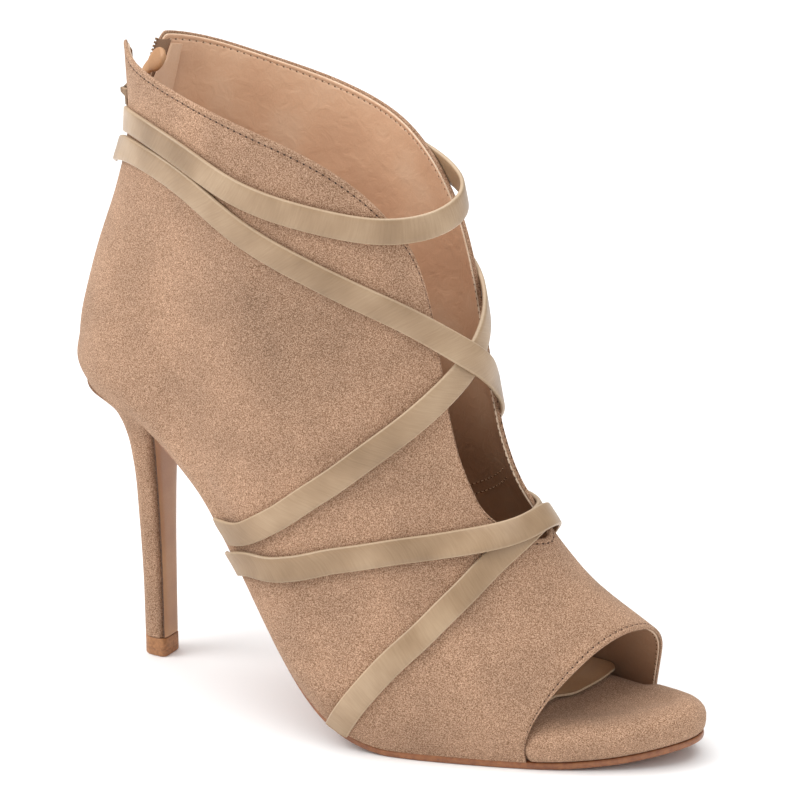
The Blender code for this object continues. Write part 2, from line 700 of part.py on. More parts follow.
def build_pull(material):
    """Tab that turns on the slider's pin; it leans in over the notch."""
    pin = hinge_place()
    lean = np.radians(42)
    along = np.array([np.cos(lean), 0.0, np.sin(lean)])
    up = np.array([-np.sin(lean), 0.0, np.cos(lean)])
    radius = PULL_WIDTH / 2
    foot = PULL_WIDTH * 0.24
    rows = [(-0.0007, foot), (0.0032, foot), (0.0052, radius * 0.62), (0.0085, radius * 0.80)]
    centre = PULL_LENGTH - radius
    for t in np.linspace(-0.9, pi / 2, 8):
        rows.append((centre + radius * np.sin(t), max(radius * np.cos(t), 0.0002)))
    rings = []
    for distance, half in rows:
        ring = []
        for y, h in ((-half, -0.5), (half, -0.5), (half, 0.5), (-half, 0.5)):
            p = pin + along * distance + up * PULL_THICK * h
            ring.append((p[0], y, p[2]))
        rings.append(ring)
    verts, faces = band(rings, closed=False, caps=True)
    return make_object("zip_pull", verts, faces, material)


suede = make_material("taupe_suede", "B4937C", 0.95)
wrap = make_material("taupe_suede_wrap", "B0907A", 0.95)
heel_suede = make_material("taupe_suede_heel", "AF8F79", 0.95)
sole_leather = make_material("tan_outsole", "B0764C", 0.45)
sock_leather = make_material("tan_sock_lining", "B08C6C", 0.55)
breast_leather = make_material("tan_heel_breast", "BE9170", 0.50)
tip_rubber = make_material("brown_top_piece", "9A7351", 0.60)
zip_metal = make_material("dull_zip_metal", "8E8780", 0.35, 1.0)
zip_cloth = make_material("taupe_zip_tape", "A98C76", 0.90)
pull_leather = make_material("tan_zip_pull", "B98257", 0.55)
guard_leather = make_material("peach_zip_guard", "DDB79A", 0.60)

build_upper(suede)
build_outsole(sole_leather)
build_footbed(wrap)
build_sock(sock_leather)
build_heel(heel_suede)
build_breast(breast_leather)
build_tip(tip_rubber)
for strap_name, outer_part, inner_part, crossed in STRAPS:
    strap_leather = make_material("olive_" + strap_name, "BBA279", 0.55)
    build_strap(strap_name, outer_part, inner_part, crossed, strap_leather)
build_zip(zip_cloth, zip_metal, guard_leather)
build_slider(zip_metal.copy())
build_pull(pull_leather)
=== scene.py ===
"""Peep-toe ankle boot for the right foot, dressed in its suede, leather, thread and zip.

Metres, +Z up, +X towards the toe, +Y towards the inner side of the foot.
"""
import bpy
import bmesh
import numpy as np
from math import pi, radians
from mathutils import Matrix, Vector


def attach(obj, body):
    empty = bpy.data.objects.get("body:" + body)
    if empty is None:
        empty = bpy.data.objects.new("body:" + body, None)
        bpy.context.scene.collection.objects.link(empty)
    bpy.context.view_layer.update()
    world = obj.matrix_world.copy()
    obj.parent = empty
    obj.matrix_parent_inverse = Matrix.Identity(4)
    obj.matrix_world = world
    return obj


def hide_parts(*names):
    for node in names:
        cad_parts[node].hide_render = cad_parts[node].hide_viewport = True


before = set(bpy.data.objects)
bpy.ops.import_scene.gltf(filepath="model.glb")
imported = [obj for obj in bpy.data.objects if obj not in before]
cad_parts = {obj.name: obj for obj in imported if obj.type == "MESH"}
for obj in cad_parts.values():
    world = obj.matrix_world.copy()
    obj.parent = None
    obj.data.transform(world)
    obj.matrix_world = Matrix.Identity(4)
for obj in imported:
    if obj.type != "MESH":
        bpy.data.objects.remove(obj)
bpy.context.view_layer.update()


def placed(name, data):
    """New object in the scene that shows some data."""
    item = bpy.data.objects.new(name, data)
    bpy.context.collection.objects.link(item)
    return item


# Camera at the photograph's angle, in an 800 by 800 frame
LOOK_AT = Vector((-0.0385, 0.0028, 0.1064))
CAMERA_AT = Vector((0.5149, -0.9754, 0.5155))
camera_data = bpy.data.cameras.new("camera")
camera = placed("camera", camera_data)
camera.location = CAMERA_AT
camera.rotation_euler = (LOOK_AT - CAMERA_AT).to_track_quat("-Z", "Y").to_euler()
camera_data.sensor_width = 36.0
camera_data.lens = 167.9
bpy.context.scene.camera = camera

MM = 1e-3                  # millimetre in metres

# Driving sizes
LENGTH = 0.2185            # back of the seat to the toe tip, level
HEEL_HEIGHT = 0.1006       # floor to the back of the seat
TOP_HEIGHT = 0.2155        # floor to the collar at the back
BALL_WIDTH = 0.0800        # widest part of the forefoot
TOE_SWING = 0.0130         # toe tip towards the inner side
TOE_SPRING = 0.0062        # toe tip above the tread
WALL = 0.0018              # suede, stiffener and lining together
SOLE_THICK = 0.0023
PLATFORM = 0.0122          # footbed under the forefoot
SHANK = 0.0034             # footbed under the heel and arch
BULGE = 0.0010             # footbed beyond the last in the toe opening
SOCK = 0.0010
STRAP_WIDTH = 0.0084
STRAP_THICK = 0.0015
TIP_HEIGHT = 0.0066
COVER_THICK = 0.0012       # leather down the front of the heel
ZIP_SLOT = 0.0050
TAPE_WIDTH = 0.0200
TAPE_THICK = 0.0007
PULL_LENGTH = 0.0198
PULL_WIDTH = 0.0070
PULL_THICK = 0.0012

# Clearances
GAP = 0.0003               # between pieces that touch in the shoe
STRAP_GAP = 0.0005         # strap over the upper
CROSS_GAP = 0.0005         # strap over strap
BED_GAP = 0.0011           # footbed inside the upper's lining

ORIGIN_SHARE = 0.6993      # of the length, from the back of the seat
TREAD = SOLE_THICK + GAP   # feather line above the floor at the forefoot

# The last as level loops. Along: share of the length. back_up: share of the leg above the
# seat. front_up: share of the leg above the toe. follow: how much of the arch shows here.
# The rest are half widths, as shares of the ball width, on the outer and the inner side.
LEVELS = (
    # level back_along back_up front_along front_up follow
    #     outer: heel waist middle ball toe   inner: heel waist middle ball toe
    (0.00, 0.000, 0.000, 1.000, 0.000, 1.00,
     .600, .375, .472, .424, .390, .600, .350, .450, .492, .420),
    (0.07, -.014, 0.056, 1.000, 0.039, 0.97,
     .640, .413, .508, .455, .405, .640, .388, .488, .512, .450),
    (0.17, -.010, 0.130, 0.972, 0.116, 0.86,
     .630, .425, .500, .450, .350, .630, .413, .475, .490, .460),
    (0.32, -.001, 0.230, 0.834, 0.217, 0.62,
     .590, .413, .463, .438, .375, .590, .400, .450, .446, .410),
    (0.48, 0.025, 0.404, 0.736, 0.340, 0.40,
     .505, .394, .419, .413, .388, .505, .394, .413, .413, .388),
    (0.65, 0.059, 0.587, 0.681, 0.470, 0.22,
     .438, .381, .388, .388, .375, .438, .381, .388, .388, .520),
    (0.83, 0.083, 0.778, 0.645, 0.659, 0.08,
     .415, .385, .385, .388, .375, .415, .388, .395, .395, .520),
    (1.00, 0.081, 1.000, 0.612, 0.848, 0.00,
     .430, .385, .372, .380, .390, .460, .400, .420, .418, .370),
)

# The feather line from the side
ARCH = (
    # along heel_share spring_share
    (0.000, 1.000, 0.00), (0.050, 0.979, 0.00), (0.141, 0.928, 0.00), (0.242, 0.749, 0.00),
    (0.343, 0.463, 0.00), (0.424, 0.229, 0.00), (0.505, 0.070, 0.00), (0.571, 0.010, 0.00),
    (0.606, 0.000, 0.00), (0.805, 0.000, 0.00), (0.900, 0.000, 0.28), (1.000, 0.000, 1.00),
)

# The upper's edges on one side: the foot edge and the edge that frames zip, collar and throat
EDGES = (
    # round foot_share edge_angle edge_level; the foot share is of the angle at the toe opening
    (0.000, 0.000, 0.000, 0.285), (0.035, 0.060, 0.048, 0.287), (0.050, 0.087, 0.066, 0.310),
    (0.215, 0.320, 0.072, 0.850), (0.230, 0.343, 0.086, 0.885), (0.262, 0.394, 0.290, 0.985),
    (0.275, 0.417, 0.345, 0.999), (0.300, 0.458, 0.450, 1.000), (0.520, 0.861, 1.600, 1.000),
    (0.600, 1.000, 2.060, 0.990), (0.650, 1.000, 2.300, 0.967), (0.690, 1.000, 2.450, 0.941),
    (0.730, 1.000, 2.580, 0.910), (0.780, 1.000, 2.670, 0.845), (0.830, 1.000, 2.695, 0.730),
    (0.900, 1.000, 2.690, 0.580), (0.945, 1.000, 2.690, 0.505), (0.972, 1.000, 2.780, 0.455),
    (0.987, 1.000, 2.930, 0.428), (1.000, 1.000, pi, 0.420),
)
# The foot edge climbs round the toe opening by a share of its turn
PEEP_TURN = (
    # round share
    (0.600, 0.00), (0.650, 0.09), (0.690, 0.16), (0.730, 0.23), (0.780, 0.31), (0.830, 0.38),
    (0.900, 0.46), (0.945, 0.52), (0.972, 0.70), (0.987, 0.85), (1.000, 1.00),
)
PEEP_LEVEL = 0.245         # top of the toe opening
PEEP_MIDDLE = 3.020        # its middle angle
PEEP_HALF = 0.815          # its half angle
PEEP_POWER = 0.40          # how square it is at the sides

# Strap centre lines on one side, as angle and level; every strap is two of them
BAND_TOP = (
    (-0.100, 0.785), (0.070, 0.806), (0.300, 0.838), (0.600, 0.868), (1.000, 0.889),
    (1.500, 0.893), (2.000, 0.909), (2.420, 0.923), (2.800, 0.941), (pi, 0.955),
)
BAND_TOP_FAR = (
    (-0.100, 0.785), (0.070, 0.806), (0.300, 0.848), (0.600, 0.892), (1.000, 0.922),
    (1.500, 0.938), (2.000, 0.950), (2.420, 0.957), (2.800, 0.960), (pi, 0.955),
)
BAND_HIGH = (
    (-0.100, 0.694), (0.070, 0.720), (0.400, 0.776), (0.940, 0.830), (1.550, 0.832),
    (2.100, 0.820), (2.500, 0.801), (2.820, 0.772), (pi, 0.733),
)
BAND_FALLING = (
    (1.070, -.080), (1.130, 0.000), (1.266, 0.153), (1.430, 0.290), (1.640, 0.375),
    (1.940, 0.457), (2.280, 0.552), (2.520, 0.610), (2.820, 0.674), (pi, 0.733),
)
BAND_RISING = (
    (1.070, -.080), (1.130, 0.000), (1.266, 0.153), (1.430, 0.290), (1.640, 0.395),
    (1.940, 0.497), (2.280, 0.610), (2.520, 0.671), (2.820, 0.726), (pi, 0.765),
)
BAND_CLIMBING = (
    (-0.100, 0.694), (0.070, 0.722), (0.400, 0.780), (0.940, 0.832), (1.550, 0.838),
    (2.100, 0.836), (2.500, 0.826), (2.820, 0.801), (pi, 0.765),
)
BAND_LOW = (
    (1.155, -.070), (1.212, 0.000), (1.350, 0.172), (1.510, 0.268), (1.717, 0.336),
    (1.950, 0.374), (2.250, 0.411), (2.550, 0.434), (2.880, 0.446), (pi, 0.452),
)
BAND_VAMP = (
    (1.585, -.070), (1.620, 0.000), (1.680, 0.082), (1.750, 0.141), (1.835, 0.187),
    (2.056, 0.262), (2.312, 0.335), (2.632, 0.405), (2.900, 0.438), (pi, 0.452),
)
STRAPS = (
    # name outer_half inner_half crosses_over
    ("strap_top", BAND_TOP, BAND_TOP_FAR, None),
    ("strap_upper_under", BAND_RISING, BAND_CLIMBING, None),
    ("strap_upper_over", BAND_HIGH, BAND_FALLING, "strap_upper_under"),
    ("strap_lower_under", BAND_VAMP, BAND_LOW, None),
    ("strap_lower_over", BAND_LOW, BAND_VAMP, "strap_lower_under"),
)

# The heel from the tip's top to the seat
HEEL = (
    # up back_along breast_along half_width
    (0.000, 0.0792, 0.1171, 0.0625), (0.250, 0.0778, 0.1171, 0.0660),
    (0.470, 0.0737, 0.1169, 0.0740), (0.700, 0.0677, 0.1167, 0.0950),
    (0.800, 0.0596, 0.1172, 0.1100), (0.860, 0.0505, 0.1192, 0.1300),
    (0.915, 0.0384, 0.1253, 0.1680), (0.960, 0.0202, 0.1415, 0.2250),
    (1.000, 0.0030, 0.1667, 0.2850),
)


def curve(xs, ys, x, level_runs=False):
    """Smooth curve through table rows."""
    xs = np.asarray(xs, float)
    ys = np.asarray(ys, float).reshape(len(xs), -1)
    x = np.clip(np.asarray(x, float), xs[0], xs[-1])
    d = np.diff(ys, axis=0) / np.diff(xs)[:, None]
    h = np.diff(xs)
    m = np.empty_like(ys)
    m[0] = d[0]
    m[-1] = d[-1]
    w = (h[1:] / (h[:-1] + h[1:]))[:, None]
    m[1:-1] = d[:-1] * w + d[1:] * (1 - w)
    if level_runs:
        m[1:-1] = np.where(d[:-1] * d[1:] <= 0, 0.0, m[1:-1])
        most = 3 * np.minimum(abs(d[:-1]), abs(d[1:]))
        m[1:-1] = np.clip(m[1:-1], -most, most)
    i = np.clip(np.searchsorted(xs, x, side="right") - 1, 0, len(xs) - 2)
    span = h[i][..., None]
    t = (x - xs[i])[..., None] / span
    rise = 3 * t**2 - 2 * t**3
    lead = (t**3 - 2 * t**2 + t) * span
    tail = (t**3 - t**2) * span
    return (1 - rise) * ys[i] + lead * m[i] + rise * ys[i + 1] + tail * m[i + 1]


def arch_height(share):
    """Feather line above the floor."""
    rows = np.array(ARCH)
    v = curve(rows[:, 0], rows[:, 1:], share, level_runs=True)
    return TREAD + v[..., 0] * (HEEL_HEIGHT - TREAD) + v[..., 1] * TOE_SPRING


def half_width(w, share):
    """Half width at a share of the loop, from five evenly spaced ones."""
    d = np.diff(w, axis=-1)
    m = np.concatenate([d[..., :1], (d[..., :-1] + d[..., 1:]) / 2, d[..., -1:]], -1)
    i = np.clip((share * 4).astype(int), 0, 3)[..., None]
    t = share * 4 - i[..., 0]
    w0 = np.take_along_axis(w, i, -1)[..., 0]
    w1 = np.take_along_axis(w, i + 1, -1)[..., 0]
    m0 = np.take_along_axis(m, i, -1)[..., 0]
    m1 = np.take_along_axis(m, i + 1, -1)[..., 0]
    rise = 3 * t**2 - 2 * t**3
    return (1 - rise) * w0 + (t**3 - 2 * t**2 + t) * m0 + rise * w1 + (t**3 - t**2) * m1


def last(angle, level):
    """Point of the last's surface; angle 0 at the back, pi at the toe, outer side first."""
    angle, level = np.broadcast_arrays(np.asarray(angle, float), np.asarray(level, float))
    rows = np.array(LEVELS)
    r = curve(rows[:, 0], rows[:, 1:], level)
    share = (1 - np.cos(angle)) / 2
    x = (r[..., 0] + (r[..., 2] - r[..., 0]) * share - ORIGIN_SHARE) * LENGTH
    ends = arch_height(np.array([0.0, 1.0]))
    back = ends[0] + r[..., 1] * (TOP_HEIGHT - ends[0])
    front = ends[1] + r[..., 3] * (TOP_HEIGHT - ends[1])
    sag = arch_height(share) - ends[0] - (ends[1] - ends[0]) * share
    z = back + (front - back) * share + r[..., 4] * sag
    outer = half_width(r[..., 5:10], share)
    inner = half_width(r[..., 10:15], share)
    side = np.where(np.sin(angle) >= 0, outer, inner)
    swing = np.clip(2 * share - 1, 0, 1)**1.7 * np.clip(1 - level / 0.6, 0, 1)
    y = TOE_SWING * swing - np.sin(angle) * side * BALL_WIDTH
    return np.stack([x, y, z], -1)


def partials(angle, level):
    """Change of the surface point with angle and with level."""
    step = 1e-4
    low = np.clip(level - step, 0, 1)
    high = np.clip(level + step, 0, 1)
    du = (last(angle + step, level) - last(angle - step, level)) / (2 * step)
    dv = (last(angle, high) - last(angle, low)) / (high - low)[..., None]
    return du, dv


def unit(v):
    """Directions of length one."""
    return v / np.linalg.norm(v, axis=-1, keepdims=True)


def skin(angle, level, out=0.0):
    """Surface point moved outwards."""
    angle, level = np.broadcast_arrays(np.asarray(angle, float), np.asarray(level, float))
    level = np.clip(level, 0, 1)
    du, dv = partials(angle, level)
    out = np.asarray(out, float)[..., None]
    return last(angle, level) + unit(np.cross(du, dv)) * out


def smooth(t):
    """Eased step from 0 to 1."""
    t = np.clip(t, 0, 1)
    return t * t * (3 - 2 * t)


def peep_level(angle):
    """Level of the toe opening's edge; zero where there is none."""
    t = np.clip(1 - ((angle - PEEP_MIDDLE) / PEEP_HALF)**2, 0, 1)
    return PEEP_LEVEL * t**PEEP_POWER


def level_at(angle, z):
    """Level where the surface reaches a height, near the foot."""
    levels = np.linspace(0, 0.45, 46)
    out = np.empty(len(angle))
    for i, a in enumerate(angle):
        out[i] = np.interp(z[i], last(a, levels)[:, 2], levels)
    return out


def edge_rows(inner_side, cell):
    """Foot edge and framing edge, cell by cell, from the back to the toe."""
    rows = np.array(EDGES)
    climb = np.array(PEEP_TURN)
    # both sides meet on the ridge, which is not quite the opening's middle
    lean = (pi - PEEP_MIDDLE) / PEEP_HALF * (1 if inner_side else -1)
    middle = 2 * pi - PEEP_MIDDLE if inner_side else PEEP_MIDDLE
    corner = middle - PEEP_HALF

    def at(u):
        u = np.asarray(u, float)
        v = curve(rows[:, 0], rows[:, 1:], u, level_runs=True)
        t = np.arccos(lean) * curve(climb[:, 0], climb[:, 1], u)[..., 0]
        foot = v[..., 0] * corner + PEEP_HALF * (1 - np.cos(t))
        return foot, PEEP_LEVEL * np.sin(t)**(2 * PEEP_POWER), v[..., 1], v[..., 2]

    places = [0.0]
    for a, b in zip(rows[:-1, 0], rows[1:, 0]):
        u = np.linspace(a, b, 9)
        foot, foot_level, edge, edge_level = at(u)
        low = np.linalg.norm(np.diff(last(foot, foot_level), axis=0), axis=1).sum()
        high = np.linalg.norm(np.diff(last(edge, edge_level), axis=0), axis=1).sum()
        cells = max(1, int(np.ceil(max(low, high) / cell)))
        places.extend(a + (b - a) * np.arange(1, cells + 1) / cells)
    return at(np.array(places))


def upper_grid(cell, rows):
    """Angles and levels of the upper's skin, round the shoe and up it."""
    outer = edge_rows(False, cell)
    inner = edge_rows(True, cell)
    v = np.linspace(0, 1, rows + 1)[:, None]
    halves = []
    for foot, foot_level, edge, edge_level in (outer, inner):
        halves.append((foot + (edge - foot) * v, foot_level + (edge_level - foot_level) * v))
    angle = np.concatenate([halves[0][0], 2 * pi - halves[1][0][:, -2:0:-1]], 1)
    level = np.concatenate([halves[0][1], halves[1][1][:, -2:0:-1]], 1)
    return angle, level


def centre_line(outer_half, inner_half):
    """A strap's path from its outer end over the ridge to its inner end."""
    a = np.array(outer_half)
    b = np.array(inner_half)[-2::-1]
    b[:, 0] = 2 * pi - b[:, 0]
    knots = np.concatenate([a, b])
    fixed = last(knots[:, 0], np.clip(knots[:, 1], 0, 1))
    steps = np.linalg.norm(np.diff(fixed, axis=0), axis=1)
    along = np.concatenate([[0], np.cumsum(np.maximum(steps, 0.002))])
    return along, knots


def strap_place(line, s, k):
    """Angle and level at a distance along and a share of the half width across."""
    along, knots = line
    q = curve(along, knots, s)
    ahead = curve(along, knots, s + 2e-4)
    behind = curve(along, knots, s - 2e-4)
    level = np.clip(q[..., 1], 0.004, 0.996)
    du, dv = partials(q[..., 0], level)
    way = ahead - behind
    tangent = unit(du * way[..., :1] + dv * way[..., 1:])
    side = np.cross(unit(np.cross(du, dv)), tangent)
    uu, uv, vv = (du * du).sum(-1), (du * dv).sum(-1), (dv * dv).sum(-1)
    su, sv = (side * du).sum(-1), (side * dv).sum(-1)
    det = uu * vv - uv * uv
    step = np.stack([(su * vv - sv * uv) / det, (sv * uu - su * uv) / det], -1)
    return q + step * np.asarray(k)[..., None] * STRAP_WIDTH / 2


def strap_ends(line, k):
    """Where one lengthwise edge starts and stops: at the zip or at the foot edge."""
    s = np.linspace(0, line[0][-1], 900)
    q = strap_place(line, s, np.full(len(s), k))
    stop = ZIP_SLOT / 2 / (BALL_WIDTH * 0.43) + 0.006
    inside = (q[:, 0] > stop) & (q[:, 0] < 2 * pi - stop) & (q[:, 1] > 0.006)
    middle = len(s) // 2
    first = middle - np.argmin(inside[middle::-1]) + 1
    final = middle + np.argmin(inside[middle:]) - 1
    return s[first], s[final]


def strap_rings(line, under, spans, ring):
    """Rings of points along a strap, lifted where it crosses the strap under it."""
    t = np.linspace(0, 1, spans + 1)
    columns = []
    for k, up in ring:
        start, stop = strap_ends(line, k)
        s = start + (stop - start) * t
        q = strap_place(line, s, np.full(len(s), k))
        lift = np.zeros(len(s))
        if under is not None:
            spot = skin(q[:, 0], q[:, 1])
            other = curve(under[0], under[1], np.linspace(0, under[0][-1], 400))
            other = last(other[:, 0], np.clip(other[:, 1], 0, 1))
            near = np.linalg.norm(spot[:, None] - other[None], axis=2).min(1)
            lift = (STRAP_THICK + CROSS_GAP) * smooth(1 - (near - STRAP_WIDTH * 0.62) / 0.009)
        columns.append(skin(q[:, 0], q[:, 1], STRAP_GAP + up * STRAP_THICK + lift))
    return np.stack(columns, 1)


def inward(points, inset):
    """A flat outline moved inwards by a distance given point by point."""
    way = np.gradient(points, axis=0)
    way[np.linalg.norm(way, axis=1) < 1e-9] = (1.0, 0.0)
    way = unit(way)
    return points + np.stack([-way[:, 1], way[:, 0]], 1) * np.asarray(inset)[:, None]


def foot_outline(shares, inset):
    """Outer and inner side of the feather line from above, moved inwards."""
    angle = np.arccos(1 - 2 * shares)
    both = np.concatenate([angle, 2 * pi - angle[-2::-1]])
    closed = last(both, 0.0)[:, :2]
    inset = np.concatenate([inset, inset[-2::-1]])
    moved = inward(closed, inset)
    count = len(shares)
    return moved[:count], moved[count - 1:][::-1]


def spread(start, stop, count):
    """Shares of the length, closer together at the toe."""
    a = np.arccos(1 - 2 * np.array([start, stop]))
    return (1 - np.cos(np.linspace(a[0], a[1], count))) / 2


def sole_inset(shares):
    """The sole's edge inside the feather line: flush at the forefoot, narrow at the waist."""
    rows = np.array(((0.0, 0.024), (0.22, 0.028), (0.34, 0.030), (0.46, 0.018),
                     (0.56, 0.004), (0.66, -.004), (1.0, -.004)))
    return curve(rows[:, 0], rows[:, 1], shares, level_runs=True)[:, 0] * BALL_WIDTH


def bed_thickness(shares):
    """Footbed: a thin shank that thickens to a platform under the forefoot."""
    return SHANK + (PLATFORM - SHANK) * smooth((shares - 0.36) / 0.24)


def wall_ring(shares, up, depth):
    """Ring inside the upper's wall, at a share of the footbed's thickness."""
    angle = np.arccos(1 - 2 * shares)
    both = np.concatenate([angle, 2 * pi - angle[::-1]])
    share = np.concatenate([shares, shares[::-1]])
    level = level_at(both, arch_height(share) + up * bed_thickness(share))
    for _ in range(5):
        spot = skin(both, level, -depth(both, level))
        share = np.clip(spot[:, 0] / LENGTH + ORIGIN_SHARE, 0, 1)
        z = arch_height(share) + up * bed_thickness(share)
        rise = np.maximum(partials(both, level)[1][:, 2], 0.03)
        level = np.clip(level + (z - spot[:, 2]) / rise, 0, 0.45)
    spot[:, 2] = z
    return spot


def heel_row(up):
    """Back, breast and half width of the heel, as shares, at a height."""
    rows = np.array(HEEL)
    return curve(rows[:, 0], rows[:, 1:], up)


def heel_ring(up, shrink=0.0):
    """D-shaped section, its height a share of the seat above each point."""
    back, breast, half = heel_row(up)
    middle = back + 0.55 * (breast - back)
    t = np.linspace(0, pi, HEEL_POINTS)
    rear = np.cos(t) > 0
    power = np.where(rear, 1.0, 0.4)
    reach = np.where(rear, middle - back, breast - middle) * LENGTH - shrink
    x = (middle - ORIGIN_SHARE) * LENGTH - np.sign(np.cos(t)) * abs(np.cos(t))**power * reach
    y = abs(np.sin(t))**power * (half * BALL_WIDTH - shrink)
    floor = TIP_HEIGHT + GAP
    seat = arch_height(x / LENGTH + ORIGIN_SHARE) - GAP
    z = floor + up * (seat - floor)
    left = [(a, -b, c) for a, b, c in zip(x, y, z)]
    right = [(a, b, c) for a, b, c in zip(x, y, z)]
    return left + right[::-1]


def hinge_place():
    """Centre of the tab's pin, behind the slider."""
    spot = skin(0.0, 0.880)
    return np.array([spot[0] - 0.0040, 0.0, spot[2] + 0.0004])


# Sizes of the dressing
CELL = 0.0026              # of the upper's fine mesh
UPPER_ROWS = 46            # up the upper's wall, on each face
BED_SPAN = (0.004, 0.9995)  # of the length, taken up by the footbed
SOCK_SPAN = (0.004, 0.800)
SOLE_SPAN = (0.178, 1.0)
PRESSED = 0.0007           # depth of the footbed's dip
HEEL_POINTS = 35           # round one side of the heel
SPANS = 180                # along a strap
STRAP_TUCK = {             # spans left off where an end turns under the foot edge
    "strap_upper_under": 5, "strap_lower_over": 3,
}
CORNER_RISE = 0.0022       # the outer corner by the zip is pulled up
STITCH_PITCH = 0.0023
FRAME_STITCH = 0.0024      # from the framing edge
TOE_STITCH = 0.0017        # from the toe opening's edge
SEAM_STITCH = 0.0027       # the lining's own row, from the framing edge
ZIP_CLOSED = 0.884         # level up to which the zip is closed
TOOTH_PITCH = 0.0012
GUARD_THICK = 0.0008
SLIDER_DEPTH = 0.6         # share of its depth that is left outside the seam
TAB_LEAN = radians(42)     # from level, as it stands in the notch
TAB_TWIST = radians(52)    # it turns as it leaves its clip
TAB_WIDER = 1.18           # its round end beside the plain one
TAB_PUFF = 0.0021          # its thickness at the round end

# The framing edge in section: the suede is drawn in by its stitches and turns over the
# edge, and the lining's cut edge lies just inside
RIM = (
    # from_edge depth finish   (millimetres; 0 suede, 1 lining's cut edge, 2 lining)
    (3.60, 0.00, 0), (2.90, 0.02, 0), (2.62, 0.16, 0), (2.40, 0.30, 0), (2.18, 0.16, 0),
    (1.90, 0.00, 0), (1.10, -0.10, 0), (0.55, -0.02, 0), (0.22, 0.16, 0), (0.05, 0.45, 0),
    (0.00, 0.80, 0), (0.12, 1.10, 0), (0.45, 1.22, 0), (0.95, 1.25, 0), (1.05, 1.22, 1),
    (0.98, 1.45, 1), (1.10, 1.72, 1), (1.45, 1.86, 2), (1.90, 1.80, 2), (2.45, 1.74, 2),
    (2.70, 1.60, 2), (2.95, 1.74, 2), (3.60, 1.80, 2),
)
TOE_RIM = (
    # from_edge depth finish
    (2.90, 0.00, 0), (2.15, 0.00, 0), (1.90, 0.12, 0), (1.70, 0.24, 0), (1.50, 0.12, 0),
    (1.28, 0.00, 0), (0.90, -0.06, 0), (0.45, 0.00, 0), (0.18, 0.16, 0), (0.04, 0.45, 0),
    (0.00, 0.80, 0), (0.12, 1.10, 0), (0.45, 1.22, 0), (0.80, 1.25, 0), (0.88, 1.22, 1),
    (0.82, 1.45, 1), (0.92, 1.72, 1), (1.20, 1.86, 2), (1.60, 1.80, 2), (2.90, 1.80, 2),
)
# Painted shade and painted light: regions of the suede darkened or lightened where the boot's
# shading falls
PAINTED_SHADE_AND_LIGHT = (
    # x y z reach strength   (millimetres)
    (-68, -40, 138, 46, 0.77),
    (-7, -34, 106, 34, 0.86),
    (42, -20, 66, 40, 0.83), (40, -8, 23, 16, 0.86), (63, -22, 21, 24, 1.24),
    (-102, -25, 196, 36, 1.12),
    (-26, -38, 138, 30, 0.92),
)
# Soft hollows and folds in the suede, listed one by one
FOLDS = (
    # angle level to_angle to_level out half_width   (millimetres)
    (0.55, 0.50, 1.15, 0.56, -0.7, 9.0), (0.35, 0.36, 0.95, 0.42, -0.5, 8.0),
    (1.90, 0.56, 2.45, 0.62, -0.5, 8.0), (2.20, 0.22, 2.75, 0.30, -0.5, 5.0),
    (2.85, 0.33, 3.35, 0.34, -0.6, 5.0), (5.70, 0.50, 5.10, 0.56, -0.6, 9.0),
    (1.25, 0.20, 1.75, 0.24, -0.4, 7.0),
)
# Folded leather strap in section
STRAP_EDGE = (
    # across up
    (-0.90, 0.00), (-0.45, 0.00), (0.00, 0.00), (0.45, 0.00), (0.90, 0.00), (0.97, 0.14),
    (1.00, 0.42), (0.985, 0.70), (0.94, 0.90), (0.86, 1.00), (0.50, 1.03), (0.00, 1.04),
    (-0.50, 1.03), (-0.86, 1.00), (-0.94, 0.90), (-0.985, 0.70), (-1.00, 0.42), (-0.97, 0.14),
)
# Footbed's wrap in section: height as a share, and how far in
WRAP = (
    # up inset   (millimetres)
    (0.00, 1.2), (0.06, 0.6), (0.14, 0.25), (0.28, 0.05), (0.44, 0.0), (0.58, 0.25),
    (0.70, 0.9), (0.80, 1.9), (0.88, 3.2), (0.94, 4.9), (0.98, 7.0), (1.00, 9.5),
)
# Sock lining's front edge, from the outer side to the inner one
SOCK_FRONT = (
    # across forward   (share, millimetres)
    (0.00, 0.0), (0.12, -0.3), (0.24, -1.1), (0.37, -2.0), (0.43, -1.7), (0.49, 0.8),
    (0.62, 2.7), (0.86, 3.9), (0.95, 3.0), (0.985, 1.2), (1.00, 0.0),
)


def srgb(code):
    """Linear colour of an sRGB hex value."""
    parts = [int(code[i:i + 2], 16) / 255 for i in (0, 2, 4)]
    return (*(c / 12.92 if c < 0.04 else ((c + 0.055) / 1.055)**2.4 for c in parts), 1.0)


def add(tree, kind, inputs=None, **settings):
    """Adds a node with its settings; an input is a value or another node's output."""
    node = tree.nodes.new(kind)
    for name, value in settings.items():
        setattr(node, name, value)
    for name, value in (inputs or {}).items():
        socket = node.inputs[name]
        if isinstance(value, bpy.types.NodeSocket):
            tree.links.new(value, socket)
        else:
            socket.default_value = value
    return node


def new_material(name, **shader):
    """Material, its node tree and its shader, with the shader's own constants set."""
    material = bpy.data.materials.new(name)
    material.use_nodes = True
    tree = material.node_tree
    node = tree.nodes["Principled BSDF"]
    for key, value in shader.items():
        node.inputs[key.replace("_", " ")].default_value = value
    return material, tree, node


def millimetres(tree):
    """Object coordinates in millimetres."""
    place = add(tree, "ShaderNodeTexCoord").outputs["Object"]
    return add(tree, "ShaderNodeMapping",
               {"Vector": place, "Scale": (1000, 1000, 1000)}).outputs["Vector"]


def ramp(tree, value, *stops):
    """Colour ramp; a stop is a place and a hex colour."""
    node = add(tree, "ShaderNodeValToRGB", {"Fac": value})
    while len(node.color_ramp.elements) < len(stops):
        node.color_ramp.elements.new(0.5)
    for element, (place, code) in zip(node.color_ramp.elements, stops):
        element.position = place
        element.color = srgb(code)
    return node.outputs["Color"]


